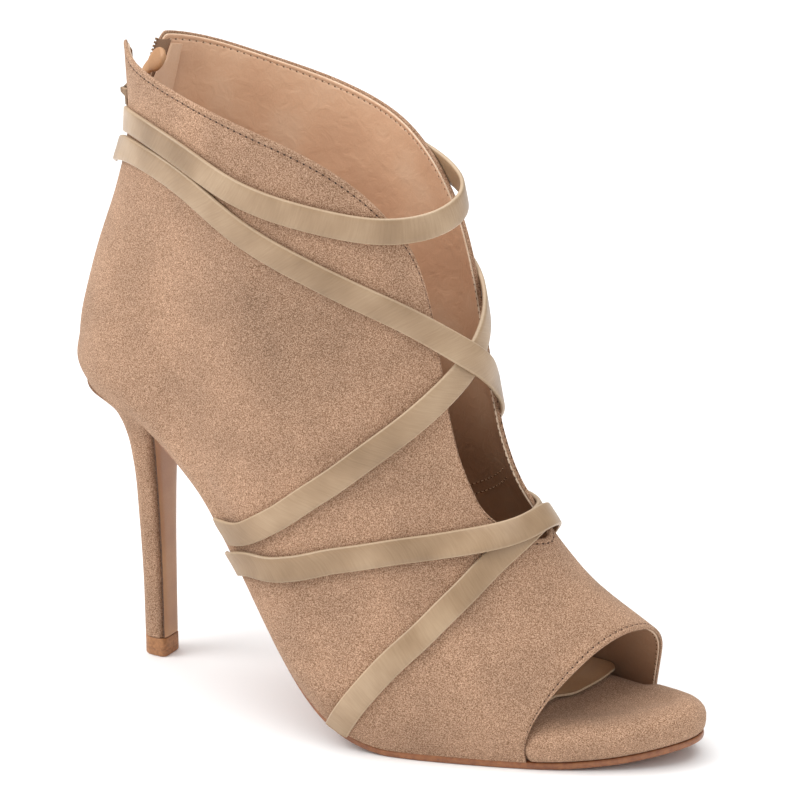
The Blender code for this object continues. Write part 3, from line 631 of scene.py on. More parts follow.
def suede(name, dark, middle, light):
    """Microsuede: polyester microfibre, raised and brushed. The nap breaks the light into fine
    light and dark flecks, with broad soft patches where it has been stroked, and painted shade and
    painted light over whole regions of the boot."""
    material, tree, shader = new_material(
        name, Roughness=0.95, Specular_IOR_Level=0.15, Sheen_Weight=0.22,
        Sheen_Roughness=0.5, Sheen_Tint=srgb("F0DCCB"))
    place = millimetres(tree)
    # flecks of about 0.35 mm, drawn coarser than the fibres so that they show
    fleck = add(tree, "ShaderNodeTexNoise",
                {"Vector": place, "Scale": 2.9, "Detail": 2.0, "Roughness": 0.65,
                 "Distortion": 0.5}).outputs["Fac"]
    colour = ramp(tree, fleck, (0.38, dark), (0.50, middle), (0.62, light))
    # stroked patches of 15 to 30 mm
    patch = add(tree, "ShaderNodeTexNoise",
                {"Vector": place, "Scale": 0.05, "Detail": 2.5, "Roughness": 0.5}).outputs["Fac"]
    shade = add(tree, "ShaderNodeMapRange",
                {"Value": patch, "From Min": 0.32, "From Max": 0.66, "To Min": 0.88,
                 "To Max": 1.09}).outputs["Result"]
    # painted shade and painted light over whole regions of the boot, where its shading falls
    for x, y, z, reach, strength in PAINTED_SHADE_AND_LIGHT:
        away = add(tree, "ShaderNodeVectorMath", {0: place, 1: (x, y, z)},
                   operation="DISTANCE").outputs["Value"]
        spot = add(tree, "ShaderNodeMapRange",
                   {"Value": away, "From Min": 0.0, "From Max": reach, "To Min": strength,
                    "To Max": 1.0}, interpolation_type="SMOOTHSTEP").outputs["Result"]
        shade = add(tree, "ShaderNodeMath", {0: shade, 1: spot},
                    operation="MULTIPLY").outputs["Value"]
    colour = add(tree, "ShaderNodeVectorMath", {0: colour, "Scale": shade},
                 operation="SCALE").outputs["Vector"]
    tree.links.new(colour, shader.inputs["Base Color"])
    # the nap stands about 0.3 mm
    bump = add(tree, "ShaderNodeBump", {"Strength": 0.8, "Distance": 0.00038, "Height": fleck})
    tree.links.new(bump.outputs["Normal"], shader.inputs["Normal"])
    return material


def smooth_leather(name, dark, middle, light, rough, grain, wrinkle=0.0, painted_low_shade=1.0):
    """Coated leather cloth: a pressed grain of about half a millimetre under a thin finish,
    with soft clouds of colour where it is stretched."""
    material, tree, shader = new_material(name, Roughness=rough, Specular_IOR_Level=0.45)
    place = millimetres(tree)
    cloud = add(tree, "ShaderNodeTexNoise",
                {"Vector": place, "Scale": 0.05, "Detail": 2.0, "Roughness": 0.45}).outputs["Fac"]
    pore = add(tree, "ShaderNodeTexVoronoi", {"Vector": place, "Scale": 1.9},
               feature="SMOOTH_F1").outputs["Distance"]
    mixed = add(tree, "ShaderNodeMix", {"Factor": 0.12, "A": cloud, "B": pore},
                data_type="FLOAT").outputs["Result"]
    colour = ramp(tree, mixed, (0.34, dark), (0.50, middle), (0.66, light))
    if painted_low_shade < 1.0:
        # painted shade: darker low down inside the boot, where it lies deep in shade; towards the
        # toe only a little darker
        spot = add(tree, "ShaderNodeSeparateXYZ", {"Vector": place})
        low = add(tree, "ShaderNodeMapRange",
                  {"Value": spot.outputs["Z"], "From Min": 70.0, "From Max": 150.0,
                   "To Min": painted_low_shade, "To Max": 1.0},
                  interpolation_type="SMOOTHSTEP").outputs["Result"]
        toe = add(tree, "ShaderNodeMapRange",
                  {"Value": spot.outputs["X"], "From Min": 15.0, "From Max": 50.0,
                   "To Min": painted_low_shade, "To Max": 0.9},
                  interpolation_type="SMOOTHSTEP").outputs["Result"]
        tone = add(tree, "ShaderNodeMath", {0: low, 1: toe}, operation="MAXIMUM").outputs["Value"]
        colour = add(tree, "ShaderNodeVectorMath", {0: colour, "Scale": tone},
                     operation="SCALE").outputs["Vector"]
    tree.links.new(colour, shader.inputs["Base Color"])
    bump = add(tree, "ShaderNodeBump",
               {"Strength": grain, "Distance": 0.00012, "Height": pore})
    if wrinkle:
        crease = add(tree, "ShaderNodeTexNoise",
                     {"Vector": place, "Scale": 0.22, "Detail": 3.0, "Roughness": 0.5,
                      "Distortion": 0.8}).outputs["Fac"]
        bump = add(tree, "ShaderNodeBump",
                   {"Strength": wrinkle, "Distance": 0.0007, "Height": crease,
                    "Normal": bump.outputs["Normal"]})
    tree.links.new(bump.outputs["Normal"], shader.inputs["Normal"])
    return material


def strap_leather(name, dark, middle, light):
    """Thin coated leather folded round a core. Pulling it round the foot puts fine pleats across
    it, half a millimetre to two apart, and its folded edges catch the light, helped by a painted
    highlight along them."""
    material, tree, shader = new_material(
        name, Roughness=0.42, Specular_IOR_Level=0.5, Coat_Weight=0.12, Coat_Roughness=0.3)
    path = add(tree, "ShaderNodeUVMap", uv_map="UVMap").outputs["UV"]
    # the map holds millimetres along and across the strap
    fine = add(tree, "ShaderNodeMapping", {"Vector": path, "Scale": (1.5, 0.13, 1.0)})
    pleat = add(tree, "ShaderNodeTexNoise",
                {"Vector": fine.outputs["Vector"], "Scale": 1.0, "Detail": 3.0,
                 "Roughness": 0.6, "Distortion": 0.25}).outputs["Fac"]
    place = millimetres(tree)
    cloud = add(tree, "ShaderNodeTexNoise",
                {"Vector": place, "Scale": 0.045, "Detail": 2.0}).outputs["Fac"]
    mixed = add(tree, "ShaderNodeMix", {"Factor": 0.22, "A": cloud, "B": pleat},
                data_type="FLOAT").outputs["Result"]
    colour = ramp(tree, mixed, (0.34, dark), (0.50, middle), (0.66, light))
    # painted highlight: lighter along the two folds, where the edges catch the light
    across = add(tree, "ShaderNodeSeparateXYZ", {"Vector": path}).outputs["Y"]
    away = add(tree, "ShaderNodeMath", {0: across}, operation="ABSOLUTE").outputs["Value"]
    painted_fold_highlight = add(tree, "ShaderNodeMapRange",
               {"Value": away, "From Min": STRAP_WIDTH * 430, "From Max": STRAP_WIDTH * 500,
                "To Min": 0.0, "To Max": 0.5}).outputs["Result"]
    colour = add(tree, "ShaderNodeMix", {"Factor": painted_fold_highlight, "A": colour, "B": srgb("D2BC9F")},
                 data_type="RGBA").outputs["Result"]
    tree.links.new(colour, shader.inputs["Base Color"])
    grain = add(tree, "ShaderNodeTexVoronoi", {"Vector": place, "Scale": 2.4},
                feature="SMOOTH_F1").outputs["Distance"]
    small = add(tree, "ShaderNodeBump", {"Strength": 0.2, "Distance": 0.0001, "Height": grain})
    large = add(tree, "ShaderNodeBump",
                {"Strength": 0.35, "Distance": 0.00025, "Height": pleat,
                 "Normal": small.outputs["Normal"]})
    tree.links.new(large.outputs["Normal"], shader.inputs["Normal"])
    return material


def plain_finish(name, code, darker, rough, scale, metal=0.0, bump=0.2, **shader):
    """Moulded, spun or plated surface with a slight cloud of tone and a fine texture."""
    material, tree, node = new_material(name, Roughness=rough, Metallic=metal, **shader)
    place = millimetres(tree)
    noise = add(tree, "ShaderNodeTexNoise",
                {"Vector": place, "Scale": scale, "Detail": 3.0, "Roughness": 0.6}).outputs["Fac"]
    colour = ramp(tree, noise, (0.35, darker), (0.62, code))
    tree.links.new(colour, node.inputs["Base Color"])
    raised = add(tree, "ShaderNodeBump",
                 {"Strength": bump, "Distance": 0.0001, "Height": noise}).outputs["Normal"]
    tree.links.new(raised, node.inputs["Normal"])
    return material


def woven(name, dark, light, pitch):
    """Plain woven tape: over and under threads, as two crossed waves."""
    material, tree, shader = new_material(name, Roughness=0.85, Specular_IOR_Level=0.2)
    place = millimetres(tree)
    warp = add(tree, "ShaderNodeTexWave", {"Vector": place, "Scale": 1 / pitch},
               bands_direction="Y").outputs["Fac"]
    weft = add(tree, "ShaderNodeTexWave", {"Vector": place, "Scale": 1 / pitch},
               bands_direction="Z").outputs["Fac"]
    height = add(tree, "ShaderNodeMath", {0: warp, 1: weft}, operation="MULTIPLY").outputs[0]
    tree.links.new(ramp(tree, height, (0.1, dark), (0.7, light)), shader.inputs["Base Color"])
    bump = add(tree, "ShaderNodeBump", {"Strength": 0.5, "Distance": 0.0002, "Height": height})
    tree.links.new(bump.outputs["Normal"], shader.inputs["Normal"])
    return material


def make_piece(name, verts, faces, materials, slots=None, uv=None, sharp=48):
    """Mesh piece with clean outward faces, shaded smooth up to an angle."""
    mesh = bpy.data.meshes.new(name)
    mesh.from_pydata(np.asarray(verts, float).tolist(), [], [tuple(map(int, f)) for f in faces])
    for material in materials:
        mesh.materials.append(material)
    if slots is not None:
        mesh.polygons.foreach_set("material_index", np.asarray(slots, np.int32))
    if uv is not None:
        layer = mesh.uv_layers.new(name="UVMap")
        corner = np.empty(len(mesh.loops), np.int32)
        mesh.loops.foreach_get("vertex_index", corner)
        layer.data.foreach_set("uv", np.asarray(uv, np.float32)[corner].ravel())
    bm = bmesh.new()
    bm.from_mesh(mesh)
    bmesh.ops.remove_doubles(bm, verts=bm.verts, dist=1e-6)
    bmesh.ops.dissolve_degenerate(bm, edges=bm.edges, dist=1e-7)
    bmesh.ops.recalc_face_normals(bm, faces=bm.faces)
    bm.to_mesh(mesh)
    bm.free()
    mesh.shade_smooth()
    mesh.set_sharp_from_angle(angle=radians(sharp))
    return placed(name, mesh)


def wear(item, body, *nodes, slot=None):
    """The piece moves with its body and stands for its solids."""
    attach(item, body)
    if nodes:
        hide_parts(*nodes)


def ring_faces(rings, count, closed):
    """Faces between rows of points."""
    faces = []
    for j in range(rings - (0 if closed else 1)):
        a = j * count
        b = (j + 1) % rings * count
        faces += [(a + i, a + (i + 1) % count, b + (i + 1) % count, b + i)
                  for i in range(count)]
    return faces


def tube(name, rings, materials, end_slot=0, **other):
    """Rings of points joined along their length, closed by one face at both ends."""
    rings = np.asarray(rings, float)
    count = rings.shape[1]
    faces = ring_faces(len(rings), count, closed=False)
    slots = [0] * len(faces) + [end_slot] * 2
    end = (len(rings) - 1) * count
    faces += [tuple(range(count)), tuple(end + i for i in range(count))]
    return make_piece(name, rings.reshape(-1, 3), faces, materials, slots, **other)


def lid(points, across, shift):
    """Inner points and faces that close a ring whose second half runs back beside the first."""
    half = len(points) // 2
    left = points[:half]
    right = points[half:][::-1]
    t = np.arange(1, across)[:, None, None] / across
    inner = left[None] * (1 - t) + right[None] * t
    if shift:
        inner = inner + shift(inner, t)
    rows = [left, *inner, right]
    return np.concatenate(rows), half, len(rows)


def stack(name, rings, materials, across, shift=None, **other):
    """Stacked rings closed by a lid at both ends; the top one may be shifted."""
    rings = [np.asarray(r, float) for r in rings]
    verts = [p for r in rings for p in r]
    faces = ring_faces(len(rings), len(rings[0]), closed=False)
    for ring, move in ((rings[0], None), (rings[-1], shift)):
        points, columns, rows = lid(ring, across, move)
        start = len(verts)
        verts.extend(points)
        for r in range(rows - 1):
            a = start + r * columns
            faces += [(a + i, a + i + 1, a + columns + i + 1, a + columns + i)
                      for i in range(columns - 1)]
    return make_piece(name, verts, faces, materials, **other)


def slab(name, top, bottom, materials, rim, **other):
    """Sheet between two grids of points, its edge closed all round."""
    rows, columns = top.shape[:2]
    index = np.arange(rows * columns).reshape(rows, columns)
    a, b, c, d = index[:-1, :-1], index[:-1, 1:], index[1:, 1:], index[1:, :-1]
    faces = np.stack([a, b, c, d], -1).reshape(-1, 4)
    under = faces[:, ::-1] + rows * columns
    loop = np.concatenate([index[0, :-1], index[:-1, -1], index[-1, :0:-1], index[:0:-1, 0]])
    ahead = np.roll(loop, -1)
    edge = np.stack([loop, ahead, ahead + rows * columns, loop + rows * columns], -1)
    slots = np.concatenate([np.zeros(2 * len(faces), int), np.full(len(edge), rim)])
    verts = np.concatenate([top.reshape(-1, 3), bottom.reshape(-1, 3)])
    return make_piece(name, verts, np.concatenate([faces, under, edge]), materials, slots, **other)


def folds(angle, level):
    """Height of the soft hollows laid in the upper."""
    spot = last(angle, np.clip(level, 0, 1))
    out = np.zeros(spot.shape[:-1])
    for a0, l0, a1, l1, height, half in FOLDS:
        a, b = last(np.array([a0, a1]), np.array([l0, l1]))
        t = np.clip(((spot - a) @ (b - a)) / ((b - a) @ (b - a)), 0, 1)
        far = np.linalg.norm(spot - a - t[..., None] * (b - a), axis=-1)
        fade = 0.35 + 0.65 * np.sin(pi * t)
        out = out + height * MM * np.exp(-(far / (half * MM))**2) * fade
    return out


def cloth(angle, level, out):
    """Point of the dressed upper, with its folds and its raised corner by the zip."""
    level = np.clip(level, 0, 1)
    spot = skin(angle, level, folds(angle, level) + out)
    near = np.exp(-((angle - 0.32) / 0.22)**2) * smooth((level - 0.90) / 0.09)
    spot[..., 2] += CORNER_RISE * near
    return spot


class Wall:
    """The upper's wall, column by column, from the foot edge to the framing edge."""

    def __init__(self, cell):
        angle, level = upper_grid(cell, 1)
        self.foot = np.stack([angle[0], level[0]])
        self.edge = np.stack([angle[1], level[1]])
        t = np.linspace(0, 1, 16)[:, None]
        path = last(*(self.foot[:, None] + (self.edge - self.foot)[:, None] * t))
        self.length = np.linalg.norm(np.diff(path, axis=0), axis=2).sum(0)

    def at(self, share):
        return self.foot + (self.edge - self.foot) * np.clip(share, 0, 1)

    def from_edge(self, distance):
        return self.at(1 - distance / self.length)

    def from_foot(self, distance):
        return self.at(distance / self.length)


def build_upper():
    """Suede upper with its lining; the rim turns over at the collar, throat and toe."""
    reach = max(RIM[0][0], TOE_RIM[0][0]) * MM
    rows = [wall.at(reach / wall.length + (1 - 2 * reach / wall.length) * t)
            for t in np.linspace(0, 1, UPPER_ROWS)]
    # only the toe opening has a turned edge: elsewhere the foot edge sits on the sole
    turned = smooth(wall.foot[1] / 0.03)
    layers = [(q, 0.0, 0, 0.0) for q in rows]
    layers += [(wall.from_edge(d * MM), depth * MM, f, 0.0) for d, depth, f in RIM]
    layers += [(q, WALL, 2, 0.0) for q in rows[::-1]]
    for d, depth, f in TOE_RIM[::-1]:
        square = WALL if depth > 0.8 else 0.0
        sink = GAP * (1 - turned) * max(0.0, 1 - d)
        layers.append((wall.from_foot(d * MM), turned * depth * MM + (1 - turned) * square,
                       f, sink))
    rings = []
    for q, depth, _, sink in layers:
        ring = cloth(*q, -depth)
        ring[:, 2] -= sink
        rings.append(ring)
    count = len(rings[0])
    finish = [layer[2] for layer in layers]
    slots = []
    for j in range(len(layers)):
        slots += [max(finish[j], finish[(j + 1) % len(layers)])] * count
    item = make_piece("upper_shell", np.concatenate(rings), ring_faces(len(rings), count, True),
                      [UPPER_SUEDE, CUT_EDGE, LINING], slots, sharp=70)
    wear(item, "boot", "upper", slot="taupe_suede")


def eased(rings, width):
    """Rings of a strap with the small waves along it smoothed away; the ends stay."""
    kernel = np.hanning(2 * width + 3)[1:-1]
    kernel /= kernel.sum()
    before = 2 * rings[:1] - rings[width:0:-1]
    after = 2 * rings[-1:] - rings[-2:-width - 2:-1]
    long = np.concatenate([before, rings, after])
    return np.apply_along_axis(lambda line: np.convolve(line, kernel, "valid"), 0, long)


def build_straps():
    """Five folded straps, with a map along and across them for their pleats."""
    lines = {row[0]: centre_line(row[1], row[2]) for row in STRAPS}
    for name, _, _, under in STRAPS:
        rings = eased(strap_rings(lines[name], lines.get(under), SPANS, STRAP_EDGE), 7)
        rings = rings[STRAP_TUCK.get(name, 0):]
        steps = np.linalg.norm(np.diff(rings.mean(1), axis=0), axis=1)
        along = np.concatenate([[0], np.cumsum(steps)])
        across = np.array([k for k, _ in STRAP_EDGE]) * STRAP_WIDTH / 2
        uv = np.stack(np.broadcast_arrays(along[:, None], across[None]), -1).reshape(-1, 2) / MM
        item = tube(name + "_leather", rings, [STRAP, STRAP_END], end_slot=1, uv=uv, sharp=60)
        wear(item, "boot", name, slot="olive_strap")


def press(points, t):
    """The footbed's top is pressed down along its middle, but not at its two ends."""
    fade = np.sin(pi * np.linspace(0, 1, points.shape[-2]))**0.3
    fade[[0, -1]] = 0.0
    return -PRESSED * np.sin(pi * t) * fade


def build_footbed():
    """Platform wrapped in suede, with a soft round front."""
    def depth(angle, level):
        # close inside the lining, and full width in the toe opening
        shown = smooth((peep_level(angle) - level) / 0.03)
        return (WALL + 0.0001) * (1 - shown) - BULGE * shown

    def shift(points, t):
        move = np.zeros_like(points)
        move[..., 2] = press(points, t[..., 0])
        return move

    shares = spread(*BED_SPAN, 120)
    rings = [wall_ring(shares, up, lambda angle, level: depth(angle, level) + inset * MM)
             for up, inset in WRAP]
    item = stack("footbed_wrap", rings, [WRAP_SUEDE], across=20, shift=shift, sharp=60)
    wear(item, "boot", "footbed", slot="suede_wrap")


def build_sock():
    """Sock lining, glued down, with a hand-cut front edge that lifts a little."""
    shares = spread(*SOCK_SPAN, 150)
    front = np.array(SOCK_FRONT)
    spot = wall_ring(shares, 1.0, lambda angle, level: WALL + BED_GAP + 0.0004)
    near = smooth((shares - 0.70) / 0.10)
    left = spot[:len(shares)]
    right = spot[:len(shares) - 1:-1]
    t = np.linspace(0, 1, 61)[:, None]
    grid = left[None] * (1 - t[..., None]) + right[None] * t[..., None]
    grid[..., 2] += press(grid, t)
    grid[..., 0] += near * (grid[..., 1] / BALL_WIDTH + 0.35) * 0.0045
    cut = curve(front[:, 0], front[:, 1], t[:, 0])[:, 0] * MM
    close = smooth((np.linspace(0, 1, len(shares)) - 0.88) / 0.12)
    grid[..., 0] += cut[:, None] * close
    lift = 0.00035 * (1 + np.sin(9 * t)) * close**3
    low = grid + np.stack([0 * lift, 0 * lift, lift + GAP], -1)
    high = low + np.array([0.0, 0.0, SOCK - 0.0002])
    item = slab("sock_leather", high, low, [SOCK_LEATHER, SOCK_CUT], rim=1, sharp=50)
    wear(item, "boot", "sock_lining", slot="tan_sock")


def build_outsole():
    """Thin outsole, its edge trimmed and polished."""
    shares = spread(*SOLE_SPAN, 130)
    edge = sole_inset(shares)
    profile = (
        # inset depth   (millimetres under the sole's top)
        (1.2, 1.00), (0.45, 0.985), (0.12, 0.88), (0.0, 0.70), (0.0, 0.30), (0.10, 0.10),
        (0.35, 0.0),
    )
    rings = []
    for inset, depth in profile:
        left, right = foot_outline(shares, edge + inset * MM)
        flat = np.concatenate([left, right[::-1]])
        share = np.clip(flat[:, 0] / LENGTH + ORIGIN_SHARE, 0, 1)
        rise = (arch_height(share + 1e-3) - arch_height(share - 1e-3)) / (2e-3 * LENGTH)
        z = arch_height(share) - GAP - depth * SOLE_THICK * np.hypot(1, rise)
        rings.append(np.column_stack([flat, z]))
    item = stack("outsole_edge", rings, [OUTSOLE], across=10, sharp=50)
    wear(item, "boot", "outsole", slot="tan_outsole")


def build_heel():
    """Heel wrapped in suede, the leather down its front and its top piece."""
    ups = np.unique(np.concatenate([np.linspace(0, 0.7, 40), np.linspace(0.7, 1.0, 40)]))
    item = stack("heel_wrap", [heel_ring(up) for up in ups], [HEEL_SUEDE], across=6, sharp=60)
    wear(item, "boot", "heel", slot="suede_heel_wrap")

    rings = []
    across = np.linspace(-0.82, 0.82, 11)
    floor = TIP_HEIGHT + GAP
    for up in np.linspace(0.002, 0.992, 80):
        _, breast, half = heel_row(up)
        ring = []
        for out, order in ((GAP, 1), (GAP + COVER_THICK, -1)):
            for k in across[::order]:
                swell = -0.0005 * abs(k / 0.82)**6 if order < 0 else 0.0
                x = (breast - ORIGIN_SHARE) * LENGTH + out + swell
                seat = float(arch_height(np.array(x / LENGTH + ORIGIN_SHARE))) - GAP
                ring.append((x, k * half * BALL_WIDTH, floor + up * (seat - floor)))
        rings.append(ring)
    item = stack("heel_breast_leather", rings, [BREAST, BREAST_CUT], across=1, sharp=60)
    for face in item.data.polygons:
        face.material_index = 1 if abs(face.normal.y) > 0.8 else 0
    wear(item, "boot", "heel_breast_cover", slot="tan_breast")

    rings = []
    reach = GAP + COVER_THICK
    front = (HEEL[0][2] - ORIGIN_SHARE) * LENGTH - 0.002
    for height, shrink in ((0.0, 0.0005), (0.0002, 0.0001), (0.0005, 0.0), (0.0021, 0.0),
                           (0.0022, 0.00012), (0.0024, 0.00012), (0.0025, 0.0),
                           (TIP_HEIGHT - 0.0003, 0.0), (TIP_HEIGHT, 0.0002)):
        ring = heel_ring(0.0, shrink)
        rings.append([(x + (reach if x > front else 0.0), y, height) for x, y, _ in ring])
    item = stack("top_piece", rings, [TOP_PIECE], across=6, sharp=50)
    wear(item, "boot", "heel_tip", slot="brown_top_piece")


def repeat_tree():
    """Repeats a piece along a path, upright on the surface it follows."""
    tree = bpy.data.node_groups.new("repeat_along_path", "GeometryNodeTree")
    sockets = (("Path", "NodeSocketGeometry", "INPUT"), ("Piece", "NodeSocketObject", "INPUT"),
               ("Pitch", "NodeSocketFloat", "INPUT"), ("Size", "NodeSocketFloat", "INPUT"),
               ("Finish", "NodeSocketMaterial", "INPUT"), ("Row", "NodeSocketGeometry", "OUTPUT"))
    for name, kind, way in sockets:
        tree.interface.new_socket(name, socket_type=kind, in_out=way)
    given = add(tree, "NodeGroupInput").outputs
    line = add(tree, "GeometryNodeMeshToCurve", {"Mesh": given["Path"]}).outputs["Curve"]
    spaced = add(tree, "GeometryNodeResampleCurve", {"Curve": line, "Length": given["Pitch"]},
                 mode="LENGTH").outputs["Curve"]
    way = add(tree, "GeometryNodeInputTangent").outputs["Tangent"]
    up = add(tree, "GeometryNodeInputNamedAttribute", {"Name": "up"},
             data_type="FLOAT_VECTOR").outputs["Attribute"]
    turn = add(tree, "FunctionNodeAlignRotationToVector", {"Vector": up}, axis="Z")
    turn = add(tree, "FunctionNodeAlignRotationToVector",
               {"Rotation": turn.outputs["Rotation"], "Vector": way}, axis="X", pivot_axis="Z")
    shape = add(tree, "GeometryNodeObjectInfo", {"Object": given["Piece"]}).outputs["Geometry"]
    row = add(tree, "GeometryNodeInstanceOnPoints",
              {"Points": spaced, "Instance": shape, "Rotation": turn.outputs["Rotation"],
               "Scale": given["Size"]}).outputs["Instances"]
    real = add(tree, "GeometryNodeRealizeInstances", {"Geometry": row}).outputs["Geometry"]
    done = add(tree, "GeometryNodeSetMaterial", {"Geometry": real, "Material": given["Finish"]})
    add(tree, "NodeGroupOutput", {"Row": done.outputs["Geometry"]})
    return tree


def repeated(name, paths, piece, pitch, finish, *nodes, slot=None, start=0.0):
    """Row of a small piece along paths of (points, ups); start is a share of the pitch."""
    verts, ups, edges = [], [], []
    for points, up in paths:
        lengths = np.linalg.norm(np.diff(points, axis=0), axis=1)
        along = np.concatenate([[0], np.cumsum(lengths)])
        s = np.linspace(start * pitch, along[-1], max(2, int(along[-1] / 0.0006)))
        first = len(verts)
        for value in s:
            verts.append([np.interp(value, along, points[:, k]) for k in range(3)])
            ups.append([np.interp(value, along, up[:, k]) for k in range(3)])
        edges += [(first + i, first + i + 1) for i in range(len(s) - 1)]
    mesh = bpy.data.meshes.new(name + "_path")
    mesh.from_pydata(verts, edges, [])
    layer = mesh.attributes.new("up", "FLOAT_VECTOR", "POINT")
    layer.data.foreach_set("vector", np.asarray(ups, np.float32).ravel())
    guide = placed(name + "_path", mesh)
    modifier = guide.modifiers.new("row", "NODES")
    modifier.node_group = ROW_TREE
    values = {"Piece": piece, "Pitch": pitch, "Size": 1.0, "Finish": finish}
    for socket in ROW_TREE.interface.items_tree:
        if socket.name in values:
            modifier[socket.identifier] = values[socket.name]
    depsgraph = bpy.context.evaluated_depsgraph_get()
    made = bpy.data.meshes.new_from_object(guide.evaluated_get(depsgraph))
    bpy.data.objects.remove(guide)
    made.shade_smooth()
    wear(placed(name, made), "boot", *nodes, slot=slot)


def small_shape(name, rows, sides, stretch=(1, 1)):
    """Turned shape along X for a small repeated piece: rows of (along, radius), metres."""
    turns = [2 * pi * i / sides for i in range(sides)]
    rings = [[(x, r * np.cos(t) * stretch[0], r * np.sin(t) * stretch[1]) for t in turns]
             for x, r in rows]
    item = tube(name, rings, [])
    item.hide_render = True
    return item


def on_skin(place, out):
    """Points and upward directions of a path of (angle, level) on the upper."""
    angle, level = place
    level = np.clip(level, 0, 1)
    base = cloth(angle, level, out)
    du, dv = partials(angle, level)
    up = unit(np.cross(du, dv))
    return base, up if out > -WALL / 2 else -up


def build_stitching():
    """Thread along collar, throat, zip and toe opening, and needle holes drawn as small dark
    pieces: painted shade for each hole's hollow.
    """
    thread = small_shape("thread", ((-0.00078, 0.00003), (-0.0005, 0.00013), (0.0, 0.00017),
                                    (0.0005, 0.00013), (0.00078, 0.00003)), 6)
    dot = small_shape("toe_hole", ((-0.00028, 0.00014), (0.0, 0.00034), (0.00028, 0.00014)), 8,
                      stretch=(0.9, 0.5))
    hole = small_shape("needle_hole", ((-0.00040, 0.00018), (0.0, 0.00040), (0.00040, 0.00018)),
                       8, stretch=(0.85, 0.45))
    toe = wall.foot[1] > 0.002
    start = np.argmax(toe)
    stop = len(toe) - np.argmax(toe[::-1])

    def around(distance, out):
        q = wall.from_edge(distance)
        q = np.concatenate([q, q[:, :1]], 1)
        q[0, -1] = 2 * pi
        return on_skin(q, out)

    def across_toe(distance, out):
        return on_skin(wall.from_foot(distance)[:, start:stop], out)

    outside = [around(FRAME_STITCH, -0.00018)]
    toe_row = [across_toe(TOE_STITCH, -0.00012)]
    inside = [around(SEAM_STITCH, -WALL + 0.00012), across_toe(TOE_STITCH, -WALL - 0.00003)]
    # double seam low inside the inner wall
    along = np.linspace(0, 1, 30)
    for shift in (0.0, 0.016):
        angle = 2 * pi - (2.057 + 0.430 * along)
        inside.append(on_skin((angle, 0.388 + shift + 0.090 * along), -WALL - 0.00003))
    repeated("suede_stitches", outside + toe_row, thread, STITCH_PITCH, THREAD_SUEDE, start=0.5)
    repeated("suede_needle_holes", outside, hole, STITCH_PITCH, NEEDLE_HOLE_SHADE)
    repeated("toe_needle_holes", toe_row, dot, STITCH_PITCH, NEEDLE_HOLE_SHADE)
    repeated("lining_stitches", inside, thread, STITCH_PITCH, THREAD_LINING, start=0.5)
    repeated("lining_needle_holes", inside, hole, STITCH_PITCH, LINING_NEEDLE_HOLE_SHADE)
    for piece in (thread, hole, dot):
        bpy.data.objects.remove(piece)


def back_reach(level):
    """Length on the skin for each radian of angle at the back."""
    return np.interp(level, [row[0] for row in LEVELS], [row[6] for row in LEVELS]) * BALL_WIDTH


def strip(name, sides, levels, inner, outer, material):
    """Strip down the back seam, with softened edges."""
    rings = []
    t = np.linspace(-1, 1, 9)
    soften = 0.35 * (outer - inner) * np.clip((abs(t) - 0.9) / 0.1, 0, 1)**2
    for level, (left, right) in zip(levels, sides):
        turn = back_reach(level)
        a = (left - right) / 2 / turn + (left + right) / 2 / turn * t
        face = skin(a, np.full(len(t), level), outer - soften)
        rear = skin(a, np.full(len(t), level), inner + soften)
        rings.append(list(face) + list(rear[::-1]))
    return stack(name, rings, [material], across=1)


def build_zip():
    """Woven tape, guard, and teeth that part above the slider."""
    half = TAPE_WIDTH / 2
    depth = -(WALL + GAP)
    levels = np.linspace(0.262, ZIP_CLOSED, 60)
    item = strip("zip_tape_cloth", [(half, half)] * 60, levels, depth - TAPE_THICK, depth, TAPE)
    wear(item, "boot", "zip_tape", slot="zip_tape")
    depth = depth - TAPE_THICK - GAP
    levels = np.concatenate([np.linspace(0.240, 0.880, 50), np.linspace(ZIP_CLOSED, 0.975, 14)])
    free = np.interp(levels, (0.24, 0.880, 0.892, 0.907, 0.926, 0.936, 0.975),
                     (0.0060, 0.0060, 0.0000, -0.0052, -0.0066, -0.0098, -0.0124))
    sewn = np.interp(levels, (0.24, 0.880, 0.975), (0.0125, 0.0125, 0.0165))
    item = strip("zip_guard_lining", zip(free, sewn), levels, depth - GUARD_THICK, depth, GUARD)
    wear(item, "boot", "zip_guard", slot="peach_guard")

    tooth = small_shape("tooth", ((-0.00040, 0.00022), (-0.00030, 0.0004), (0.00030, 0.0004),
                                  (0.00040, 0.00022)), 8, stretch=(1.7, 1.2))
    level = np.linspace(0.300, 0.868, 120)
    lean = 0.00068 / back_reach(level)
    near = on_skin((lean, level), -0.0007)
    far = on_skin((2 * pi - lean, level), -0.0007)
    repeated("zip_teeth_outer", [near], tooth, TOOTH_PITCH, TEETH, "zip_chain", slot="zip_teeth")
    repeated("zip_teeth_inner", [far], tooth, TOOTH_PITCH, TEETH, slot="zip_teeth", start=0.5)
    # above the slider the two halves part and follow the notch
    level = np.linspace(ZIP_CLOSED, ZIP_CLOSED + 0.097, 40)
    edge = np.interp(level, (ZIP_CLOSED, 0.985), (0.086, 0.290))
    for side in ("outer", "inner"):
        def around(away):
            angle = edge + away
            return angle if side == "outer" else 2 * pi - angle

        rows = [cloth(around(away), level, out) for away, out in (
            (-0.022, -0.0006), (0.10, -WALL - 0.0002), (0.10, -WALL - 0.0008), (-0.022, -0.0013))]
        item = tube("open_tape_" + side, np.stack(rows, 1), [TAPE], sharp=50)
        wear(item, "boot", slot="zip_tape")
        repeated("open_teeth_" + side, [on_skin((around(-0.030), level), -0.0009)], tooth,
                 TOOTH_PITCH, TEETH, slot="zip_teeth")
    bpy.data.objects.remove(tooth)


